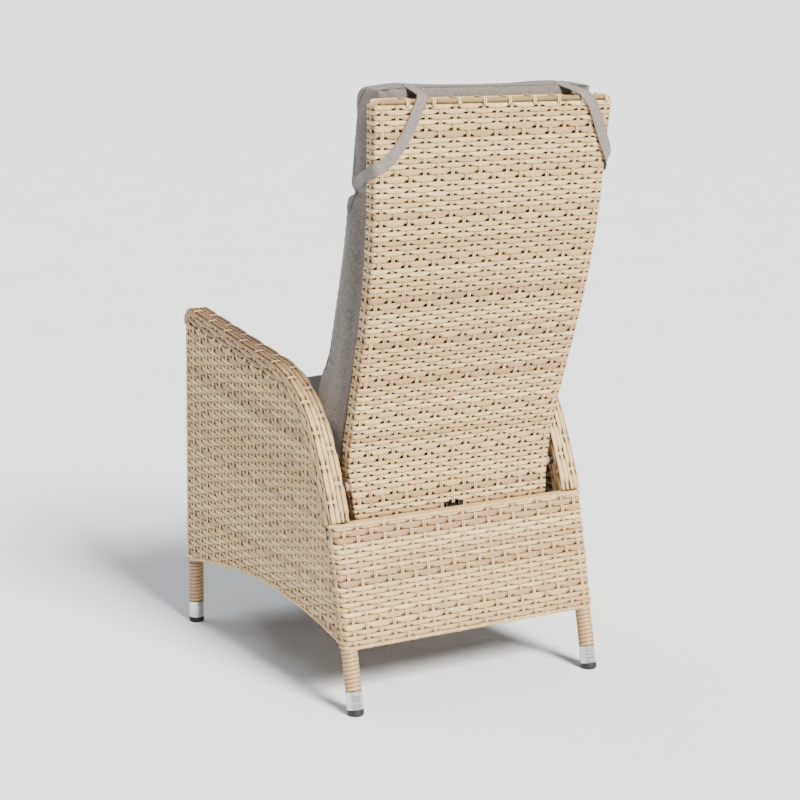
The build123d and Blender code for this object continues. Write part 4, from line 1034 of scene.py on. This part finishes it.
def setVertices(obj, points):
    obj.data.vertices.foreach_set("co", (points * mm).astype(np.float32).ravel())
    obj.data.update()


def applyModifiers(obj):
    graph = bpy.context.evaluated_depsgraph_get()
    made = bpy.data.meshes.new_from_object(obj.evaluated_get(graph))
    obj.modifiers.clear()
    obj.data = made


def plump(look):
    # Remesh a merged copy of the solid, soften and shrink it a little, then let the cloth fill it
    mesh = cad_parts[look["node"]].data.copy()
    work = bmesh.new()
    work.from_mesh(mesh)
    bmesh.ops.remove_doubles(work, verts=work.verts, dist=0.00001)
    work.to_mesh(mesh)
    work.free()
    obj = bpy.data.objects.new(look["name"], mesh)
    bpy.context.scene.collection.objects.link(obj)
    mesher = obj.modifiers.new("voxels", "REMESH")
    mesher.mode = "VOXEL"
    mesher.voxel_size = look["voxel"] * mm
    softener = obj.modifiers.new("soft", "SMOOTH")
    softener.factor = 0.6
    softener.iterations = look["soften"]
    applyModifiers(obj)
    p = verticesOf(obj) - look["shrink"] * vertexNormals(obj)
    level, taller = look["stretch"]
    p[:, 2] = np.where(p[:, 2] > level, level + (p[:, 2] - level) * taller, p[:, 2])
    setVertices(obj, p)
    start = verticesOf(obj)
    cloth = obj.modifiers.new("filling", "CLOTH")
    cloth.settings.use_pressure = True
    cloth.settings.uniform_pressure_force = look["pressure"]
    cloth.settings.effector_weights.gravity = 0.0
    cloth.settings.quality = 5
    cloth.point_cache.frame_start = 1
    cloth.point_cache.frame_end = fillFrames
    for number in range(1, fillFrames + 1):
        bpy.context.scene.frame_set(number)
    applyModifiers(obj)
    bpy.context.scene.frame_set(1)
    moved = verticesOf(obj) - start
    size = np.linalg.norm(moved, axis=1, keepdims=True)
    print(f"{look['name']} filled: moved {size.mean():.1f} mm on average, at most {size.max():.1f} mm")
    setVertices(obj, start + moved * np.minimum(1, look["cap"] / np.maximum(size, 1e-6)))
    return obj


def refine(obj):
    smoother = obj.modifiers.new("fine", "SUBSURF")
    smoother.levels = 1
    smoother.render_levels = 1
    applyModifiers(obj)
    obj.data.polygons.foreach_set("use_smooth", np.ones(len(obj.data.polygons), bool))


def setSeam(obj, seam):
    made = obj.data.attributes.new("seam", "FLOAT", "POINT")
    made.data.foreach_set("value", seam.astype(np.float32))


def bell(x, width):
    return np.exp(-((x / width) ** 2))


def step(x, low, high):
    # From 0 at low to 1 at high
    return np.clip((x - low) / (high - low), 0, 1)


def average5(values):
    # Mean of five neighbours
    return np.convolve(np.pad(values, 2, "edge"), np.ones(5) / 5, "valid")


def makeBackCushion():
    look = backCushionLook
    obj = plump(look)
    refine(obj)
    p = verticesOf(obj)
    out = vertexNormals(obj)
    face = panelFace(p[:, 2])
    depth = face - p[:, 1]
    # How far the cushion's front stands out at each height near its sides, read off the mesh
    near, far = look["sides"]
    sideBand = (np.abs(p[:, 0]) > near) & (np.abs(p[:, 0]) < far)
    low, high, pitch = look["heights"]
    heights = np.arange(low, high, pitch)
    place = np.clip(((p[:, 2] - low) / pitch).astype(int), 0, len(heights) - 1)
    front = np.zeros(len(heights))
    np.maximum.at(front, place[sideBand], depth[sideBand])
    front = average5(np.where(front > 5, front, front.max() * 0.5))
    deeper = np.clip(spread(look["headDepth"], heights) / front, 0.95, 1.3)
    ratio = average5(np.where(heights > look["channel"], deeper, 1.0))
    depth = depth * np.interp(p[:, 2], heights, ratio)
    p[:, 1] = face - depth
    # The side seam runs behind the front edge; over the top it runs just below the rear edge
    behind = depth - (np.interp(p[:, 2], heights, front * ratio) - look["sideSeam"])
    sideways = step(np.abs(out[:, 0]), 0.35, 0.6)
    seam = bell(behind, look["seamHalf"]) * sideways * step(p[:, 2], *look["seamFrom"])
    tilt = np.degrees(np.arctan2(out[:, 2], out[:, 1]))
    over = bell(tilt - 40, 16) * step(p[:, 2], *look["topSeamFrom"]) * step(-np.abs(out[:, 0]), -0.7, -0.4)
    channel = bell(p[:, 2] - look["channel"], look["channelHalf"])
    channel = channel * step(-out[:, 1] + np.abs(out[:, 0]), 0.2, 0.6)
    groove = np.maximum(seam, over)
    p -= out * (look["seamDeep"] * groove + look["channelDeep"] * channel)[:, None]
    p += out * (look["ridge"] * bell(behind + 5.0, 2.4) * sideways)[:, None]
    p[:, 1] = np.minimum(p[:, 1], panelFace(p[:, 2]) - 0.4)
    setVertices(obj, p)
    # The seam measure also sets painted shade: the seam grooves and the channel are painted dark
    setSeam(obj, np.maximum(groove, 0.5 * channel**2))
    return obj


def makeSeatCushion():
    look = seatCushionLook
    obj = plump(look)
    refine(obj)
    p = verticesOf(obj)
    out = vertexNormals(obj)
    upright = step(np.hypot(out[:, 0], out[:, 1]), 0.5, 0.8)
    groove = np.maximum(*(bell(p[:, 2] - z, look["seamHalf"]) for z in look["seams"])) * upright
    p -= out * (look["seamDeep"] * groove)[:, None]
    p[:, 2] = np.maximum(p[:, 2], chair["seatTop"] + 0.3)
    setVertices(obj, p)
    # The seam measure also sets painted shade: the seam grooves are painted dark
    setSeam(obj, groove)
    return obj


seatCushion = makeSeatCushion()
backCushion = makeBackCushion()
for piece, node, body in ((seatCushion, "seat_cushion", "frame"), (backCushion, "back_cushion", "back")):
    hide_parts(node)
    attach(piece, body)
print("cushions plumped")


# Straps from the cushion over the back's top corners and round its edges
strapLook = {
    "width": 22.0,
    "thick": 1.6,
    "samples": 120,
    # Place across, place behind the panel's rear face, height, and which way the tape faces
    "left": (
        (160, -51, 1138.5, (0, 0.8, 0.5)), (160, -42, 1135.0, (0, 0.6, 0.8)),
        (160, -31, 1131.5, (0, 0.5, 0.9)), (160.5, -16, 1127.5, (0, 0.5, 0.9)),
        (161.5, -1, 1122.5, (0, 0.75, 0.6)),
        (166, 3.0, 1112, (0, 1, 0)), (173, 3.6, 1097, (0, 1, 0)), (187, 4.2, 1066, (0, 1, 0)),
        (204, 4.2, 1037, (0, 1, 0)), (221, 3.6, 1016, (0, 1, 0)), (238, 2.6, 1003, (0.1, 1, 0)),
        (250.6, 0.5, 997, (0.7, 0.75, 0)), (253.6, -14, 989, (1, 0.1, 0)), (253.0, -32, 982, (1, 0, 0)),
        (247.0, -54, 974, (1, 0.1, 0)), (242.0, -72, 969, (1, 0.1, 0)), (239.5, -88, 966, (1, 0.1, 0)),
    ),
    "right": (
        (169, -51, 1138.5, (0, 0.8, 0.5)), (170, -42, 1135.0, (0, 0.6, 0.8)),
        (173, -31, 1131.5, (0, 0.5, 0.9)), (179, -16, 1127.5, (0, 0.5, 0.9)),
        (186, -2, 1122.5, (0.1, 0.8, 0.6)),
        (196, 3.4, 1113, (0.1, 1, 0.2)), (208, 4.2, 1099, (0, 1, 0)), (220, 4.6, 1074, (0, 1, 0)),
        (233, 4.6, 1045, (0, 1, 0)), (245, 4.0, 1020, (0.1, 1, 0)), (252.4, 1.5, 1001, (0.5, 0.9, 0)),
        (256.0, -12, 987, (1, 0.3, 0)), (254.6, -30, 976, (1, 0, 0)), (248.5, -54, 970, (1, 0.1, 0)),
        (243.0, -72, 966, (1, 0.1, 0)), (240.0, -88, 963, (1, 0.1, 0)),
    ),
}


def smoothLine(points, count):
    # Catmull-Rom curve through listed points
    p = np.asarray(points, dtype=float)
    p = np.concatenate([2 * p[:1] - p[1:2], p, 2 * p[-1:] - p[-2:-1]])
    n = len(p) - 3
    t = np.linspace(0, n - 1e-6, count)
    i = t.astype(int)
    f = (t - i)[:, None]
    a, b, c, d = p[i], p[i + 1], p[i + 2], p[i + 3]
    return 0.5 * (2 * b + (c - a) * f + (2 * a - 5 * b + 4 * c - d) * f**2 + (3 * b - a - 3 * c + d) * f**3)


tapeOutline = np.array([
    (-1, 0.15), (-0.97, 0.75), (-0.9, 1.1), (-0.82, 0.85), (-0.4, 1.0), (0.4, 1.0), (0.82, 0.85),
    (0.9, 1.1), (0.97, 0.75), (1, 0.15), (0.7, 0.0), (-0.7, 0.0),
])


def tape(name, centre, across, out):
    # A flat strip with raised sewn edges: tapeOutline carried along the line
    n, m = len(centre), len(tapeOutline)
    side = tapeOutline[:, 0] * strapLook["width"] / 2
    rise = tapeOutline[:, 1] * strapLook["thick"]
    points = centre[:, None] + side[None, :, None] * across[:, None] + rise[None, :, None] * out[:, None]
    a = np.arange(m // 2 - 1)
    low = np.stack([a, a + 1, m - 2 - a, m - 1 - a], axis=-1)
    faces = np.concatenate([tubeFaces(n, m), low[:, ::-1], low + (n - 1) * m])
    lay = np.zeros((n, m, 4))
    lay[..., 0] = lengthAlong(centre)[:, None] * mm
    lay[..., 1] = tapeOutline[:, 0]
    return addMesh(name, points.reshape(-1, 3), faces, lay.reshape(-1, 4))


def makeStrap(side, sign):
    # Points are set off the plane of the rear face, which leans by the angle at the panel's top
    top, count = backLook["top"], strapLook["samples"]
    points = np.array([(x * sign, off, z) for x, off, z, _ in strapLook[side]])
    below = top - np.minimum(points[:, 2], top)
    points[:, 1] += onBack(top, "y") - below * math.tan(onBack(top, "angle"))
    facing = np.array([way for *_, way in strapLook[side]], dtype=float) * (sign, 1, 1)
    line = smoothLine(points, count)
    ahead = unit(np.gradient(line, axis=0))
    out = smoothLine(facing, count)
    out = unit(out - ahead * np.sum(out * ahead, axis=1, keepdims=True))
    obj = tape(f"{side}_strap_tape", line, np.cross(ahead, out), out)
    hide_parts(f"{side}_cushion_strap")
    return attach(obj, "back")


straps = [makeStrap("left", 1), makeStrap("right", -1)]
print("straps laid")


# Finishes
class Wire:
    # One socket of a material. Sums and products of wires add their Math nodes.
    def __init__(self, tree, socket=None):
        self.tree = tree
        self.socket = socket

    def plug(self, value, target):
        if isinstance(value, Wire):
            self.tree.links.new(value.socket, target)
        else:
            target.default_value = value

    def node(self, kind, settings=None, inputs=None, output=0):
        # Any node: its settings first, then the values or wires of its sockets
        made = self.tree.nodes.new(kind)
        for key, value in (settings or {}).items():
            if key == "stops":
                ramp = made.color_ramp
                while len(ramp.elements) < len(value):
                    ramp.elements.new(0.5)
                for element, (place, colour) in zip(ramp.elements, value):
                    element.position = place
                    element.color = colour
            else:
                setattr(made, key, value)
        for key, value in (inputs or {}).items():
            self.plug(value, made.inputs[key])
        return Wire(self.tree, made.outputs[output] if len(made.outputs) else None)

    def math(self, operation, first, second):
        return self.node("ShaderNodeMath", {"operation": operation}, {0: first, 1: second})

    def one(self, operation):
        return self.node("ShaderNodeMath", {"operation": operation}, {0: self})

    def __add__(self, other):
        return self.math("ADD", self, other)

    def __sub__(self, other):
        return self.math("SUBTRACT", self, other)

    def __mul__(self, other):
        return self.math("MULTIPLY", self, other)


def tint(red, green, blue):
    # The colour as a screen shows it, 0 to 255, made linear
    parts = [c / 255 for c in (red, green, blue)]
    return tuple(c / 12.92 if c <= 0.04045 else ((c + 0.055) / 1.055) ** 2.4 for c in parts) + (1.0,)


def startFinish(name):
    material = bpy.data.materials.new(name)
    material.use_nodes = True
    material.node_tree.nodes.clear()
    return material, Wire(material.node_tree)


def endFinish(material, sheet, sockets):
    shader = sheet.node("ShaderNodeBsdfPrincipled", {}, sockets)
    sheet.node("ShaderNodeOutputMaterial", {}, {"Surface": shader})
    return material


def mixColour(sheet, share, first, second):
    return sheet.node("ShaderNodeMix", {"data_type": "RGBA"}, {0: share, 6: first, 7: second}, 2)


def clampRange(sheet, value, low, high, outLow=0.0, outHigh=1.0):
    sockets = {0: value, 1: low, 2: high, 3: outLow, 4: outHigh}
    return sheet.node("ShaderNodeMapRange", {"clamp": True}, sockets)


def noise(sheet, where, scale, detail, roughness=0.5):
    sockets = {"Vector": where, "Scale": scale, "Detail": detail, "Roughness": roughness}
    return sheet.node("ShaderNodeTexNoise", {}, sockets)


def bumpOf(sheet, height, strength, distance):
    return sheet.node("ShaderNodeBump", {}, {"Strength": strength, "Distance": distance, "Height": height})


def join(sheet, x, y, z):
    return sheet.node("ShaderNodeCombineXYZ", {}, {0: x, 1: y, 2: z})


def objectPlace(sheet, scale=(1.0, 1.0, 1.0)):
    where = sheet.node("ShaderNodeTexCoord", {}, {}, "Object")
    return sheet.node("ShaderNodeMapping", {}, {"Vector": where, "Scale": scale})


def attribute(sheet, name, output="Fac"):
    return sheet.node("ShaderNodeAttribute", {"attribute_name": name}, {}, output)


def layOf(sheet):
    # A strand's measures: along it, across it and its tone
    lay = attribute(sheet, "lay", "Vector")
    return [sheet.node("ShaderNodeSeparateXYZ", {}, {0: lay}, axis) for axis in range(3)]


wickerLook = {
    # the strand's colours from low tone to high
    "stops": [
        (0.0, tint(212, 186, 140)), (0.28, tint(191, 160, 113)),
        (0.62, tint(167, 134, 95)), (1.0, tint(138, 107, 81)),
    ],
    # painted shade: the dark colour that the strands' creases and hollows are mixed towards
    "crease": tint(34, 24, 16),
    "roughness": (0.32, 0.52),
}


def wickerFinish():
    # Tone mixes cream to tan to brown; fine grooves run along each strand
    material, sheet = startFinish("woven_strand")
    along, across, tone = layOf(sheet)
    streak = noise(sheet, join(sheet, along * 6.0, across * 3.2, tone * 91.0), 1.6, 3.0, 0.6)
    patch = noise(sheet, join(sheet, along * 9.0, tone * 40.0, 0.0), 1.0, 2.0)
    depth = tone + (patch - 0.5) * 0.5 + (streak - 0.5) * 0.6
    ramp = sheet.node("ShaderNodeValToRGB", {"stops": wickerLook["stops"]}, {0: depth})
    # Painted shade: creases, edges and hollows are darkened towards the crease colour
    colour = mixColour(sheet, attribute(sheet, "crease") * 0.94, ramp, wickerLook["crease"])
    groove = noise(sheet, join(sheet, along * 14.0, across * 9.0, tone * 57.0), 1.0, 2.0)
    rough = clampRange(sheet, streak, 0.3, 0.7, *wickerLook["roughness"])
    bump = bumpOf(sheet, groove, 0.45, 0.0007)
    return endFinish(material, sheet, {"Base Color": colour, "Roughness": rough, "Normal": bump})


# seam is the colour of the painted shade in the cushions' seam and channel grooves
fabricLook = {"light": tint(124, 117, 111), "dark": tint(77, 72, 67), "seam": tint(30, 27, 25)}


def fabricFinish(name, look, thread):
    # Two greys mixed thread by thread, drawn out along the cloth, and dark in the seams: painted shade in the
    # grooves of the seams and the channel
    material, sheet = startFinish(name)
    fine = noise(sheet, objectPlace(sheet, (1.0, 1.0, 0.28)), thread, 3.0, 0.65)
    cross = noise(sheet, objectPlace(sheet, (0.3, 0.3, 1.0)), thread * 0.9, 2.0)
    share = clampRange(sheet, fine * 0.6 + cross * 0.4, 0.36, 0.64)
    colour = mixColour(sheet, share, look["dark"], look["light"])
    # Painted shade: the seams and the channel are darkened towards the seam colour
    seam = clampRange(sheet, attribute(sheet, "seam"), 0.35, 0.85, 0.0, 0.92)
    colour = mixColour(sheet, seam, colour, look["seam"])
    bump = bumpOf(sheet, fine + cross, 0.5, 0.0006)
    sheen = {"Sheen Weight": 0.25, "Sheen Roughness": 0.5}
    return endFinish(material, sheet, {"Base Color": colour, "Roughness": 0.92, "Normal": bump, **sheen})


strapFinishLook = {"light": tint(140, 132, 124), "dark": tint(86, 80, 74), "stitch": tint(74, 69, 65)}


def tapeFinish():
    # The same cloth folded to a tape: a stitch line near each edge
    material, sheet = startFinish("strap_cloth")
    look = strapFinishLook
    fine = noise(sheet, objectPlace(sheet), 900.0, 3.0)
    colour = mixColour(sheet, clampRange(sheet, fine, 0.38, 0.62), look["dark"], look["light"])
    along, across, _ = layOf(sheet)
    off = (across.one("ABSOLUTE") - 0.82).one("ABSOLUTE")
    line = clampRange(sheet, off, 0.02, 0.06, 1.0, 0.0)
    line = line * clampRange(sheet, (along * 1800.0).one("SINE"), -0.4, 0.2)
    colour = mixColour(sheet, line * 0.6, colour, look["stitch"])
    bump = bumpOf(sheet, fine - line, 0.5, 0.0005)
    sockets = {"Base Color": colour, "Roughness": 0.9, "Normal": bump, "Sheen Weight": 0.2}
    return endFinish(material, sheet, sockets)


def paintFinish(name, colour, roughness, metallic, grain, strength, worn):
    # Plain finish with a fine grain in its colour, roughness and surface; worn darkens the colour
    material, sheet = startFinish(name)
    where = objectPlace(sheet)
    fine = noise(sheet, where, grain, 3.0)
    broad = noise(sheet, where, 22.0, 2.0)
    dark = tuple(c * worn for c in colour[:3]) + (1.0,)
    mixed = mixColour(sheet, clampRange(sheet, broad * 0.5 + fine * 0.5, 0.35, 0.65), dark, colour)
    rough = clampRange(sheet, fine, 0.3, 0.7, max(roughness - 0.07, 0.03), roughness + 0.07)
    bump = bumpOf(sheet, fine, strength, 0.0003)
    sockets = {"Base Color": mixed, "Roughness": rough, "Metallic": metallic, "Normal": bump}
    return endFinish(material, sheet, sockets)


def brushedFinish():
    # Bright aluminium with fine rings turned round the leg
    material, sheet = startFinish("bright_aluminium")
    fine = noise(sheet, objectPlace(sheet, (8.0, 8.0, 900.0)), 1.0, 2.0)
    colour = mixColour(sheet, clampRange(sheet, fine, 0.35, 0.65), tint(196, 198, 200), tint(226, 228, 230))
    rough = clampRange(sheet, fine, 0.3, 0.7, 0.22, 0.38)
    bump = bumpOf(sheet, fine, 0.25, 0.0002)
    sockets = {"Base Color": colour, "Roughness": rough, "Metallic": 1.0, "Normal": bump}
    return endFinish(material, sheet, sockets)


wicker = wickerFinish()
fabric = fabricFinish("cushion_cloth", fabricLook, 620.0)
tapeCloth = tapeFinish()
aluminium = brushedFinish()
coat = paintFinish("tube_coat", tint(150, 125, 96), 0.5, 0.0, 900.0, 0.3, 0.85)
rubber = paintFinish("foot_rubber", tint(26, 26, 27), 0.55, 0.0, 500.0, 0.3, 0.8)
steel = paintFinish("zinc_steel", tint(176, 178, 180), 0.35, 1.0, 300.0, 0.15, 0.8)
springBlack = paintFinish("spring_paint", tint(24, 24, 26), 0.35, 0.0, 300.0, 0.15, 0.8)
chrome = paintFinish("polished_rod", tint(214, 216, 218), 0.14, 1.0, 200.0, 0.05, 0.92)
plastic = paintFinish("moulded_plastic", tint(52, 50, 48), 0.48, 0.0, 700.0, 0.35, 0.85)


def dress(obj, finish):
    obj.data.materials.clear()
    obj.data.materials.append(finish)


woven = [panelRear, panelFront, panelTop, apronFront, apronRear, seatWeave]
woven += sidePieces + edges + bands + wraps
groups = (
    (woven, wicker, "wicker"),
    ((seatCushion, backCushion), fabric, "cushion"),
    (straps, tapeCloth, "strap"),
)
for pieces, finish, slot in groups:
    for piece in pieces:
        dress(piece, finish)

# Ends of the kept nodes' names
kept = {
    "side_frame arm_rail seat_rail lower_rail cross_bars upper_rail": coat,
    "pivot_brackets back_frame spring_bracket": coat,
    "foot": rubber,
    "ferrule": aluminium,
    "lever_pin release_arm release_plunger release_wire": steel,
    "gas_cylinder release_head pivot_bolts pivot_spacers spring_pin lug_pin spring_lug": springBlack,
    "piston_rod": chrome,
    "pivot_bushes release_bezel release_lever release_cable": plastic,
}
for words, finish in kept.items():
    for name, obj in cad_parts.items():
        if name.endswith(tuple(words.split())):
            for place in obj.material_slots:
                place.material = finish
            if not obj.material_slots:
                obj.data.materials.append(finish)
print("finishes given")


# Floor, light and camera
stageLook = {
    "floor": tint(248, 251, 255),
    "reach": 200000.0,
    "cells": 11,
    "sky": 0.22,
    "skyColour": (0.9, 0.95, 1.0, 1.0),
}


def makeFloor():
    size = stageLook["reach"]
    n = stageLook["cells"] + 1
    x, y = np.meshgrid(np.linspace(-size, size, n), np.linspace(-size, size, n))
    points = np.stack([x, y, np.zeros_like(x)], axis=-1).reshape(-1, 3)
    i, j = np.meshgrid(np.arange(n - 1), np.arange(n - 1))
    a = (j * n + i).ravel()
    faces = np.stack([a, a + 1, a + n + 1, a + n], axis=-1)
    floor = addMesh("studio_floor", points, faces, smooth=False)
    dress(floor, paintFinish("studio_floor_finish", stageLook["floor"], 0.85, 0.0, 3.0, 0.0, 0.99))
    return floor


floor = makeFloor()

world = bpy.data.worlds.new("studio")
bpy.context.scene.world = world
world.use_nodes = True
world.node_tree.nodes["Background"].inputs[0].default_value = stageLook["skyColour"]
world.node_tree.nodes["Background"].inputs[1].default_value = stageLook["sky"]

lamps = (
    {"name": "key", "at": (-0.15, 2.0, 1.6), "power": 10.0, "angle": 20.0, "colour": (1.0, 0.965, 0.9)},
    {"name": "top", "at": (0.3, -1.0, 2.6), "power": 1.3, "angle": 50.0, "colour": (0.95, 0.97, 1.0)},
)
for lamp in lamps:
    data = bpy.data.lights.new(lamp["name"], "SUN")
    data.energy = lamp["power"]
    data.color = lamp["colour"]
    data.angle = math.radians(lamp["angle"])
    obj = bpy.data.objects.new(lamp["name"], data)
    bpy.context.scene.collection.objects.link(obj)
    way = -np.array(lamp["at"])
    heading = math.atan2(way[1], way[0])
    drop = math.atan2(math.hypot(way[0], way[1]), -way[2])
    obj.location = lamp["at"]
    obj.rotation_euler = (drop, 0, heading - math.pi / 2)

# Angles in degrees; focal length, middle and picture in pixels; film in mm
viewpoint = {
    "at": (2.1136, 3.3822, 1.3238),
    "yaw": 31.78,
    "pitch": 11.04,
    "roll": 0.70,
    "focal": 2061.6,
    "middle": (384.27, 379.34),
    "picture": 800.0,
    "film": 36.0,
}


def makeCamera():
    # The camera looks back along a line that rises by pitch and turns by yaw, then rolls about it
    yaw, pitch, roll = (math.radians(viewpoint[k]) for k in ("yaw", "pitch", "roll"))
    back = np.array([math.sin(yaw) * math.cos(pitch), math.cos(yaw) * math.cos(pitch), math.sin(pitch)])
    right = np.array([-math.cos(yaw), math.sin(yaw), 0.0])
    up = np.cross(back, right)
    right, up = right * math.cos(roll) + up * math.sin(roll), up * math.cos(roll) - right * math.sin(roll)
    picture, middle = viewpoint["picture"], viewpoint["middle"]
    data = bpy.data.cameras.new("photo_view")
    data.sensor_width = viewpoint["film"]
    data.lens = viewpoint["focal"] / picture * viewpoint["film"]
    data.shift_x = (picture / 2 - middle[0]) / picture
    data.shift_y = (middle[1] - picture / 2) / picture
    data.clip_end = 500.0
    obj = bpy.data.objects.new("photo_view", data)
    bpy.context.scene.collection.objects.link(obj)
    matrix = np.eye(4)
    matrix[:3, 0], matrix[:3, 1], matrix[:3, 2], matrix[:3, 3] = right, up, back, viewpoint["at"]
    obj.matrix_world = Matrix(matrix.tolist())
    bpy.context.scene.camera = obj


makeCamera()
print("stage set")
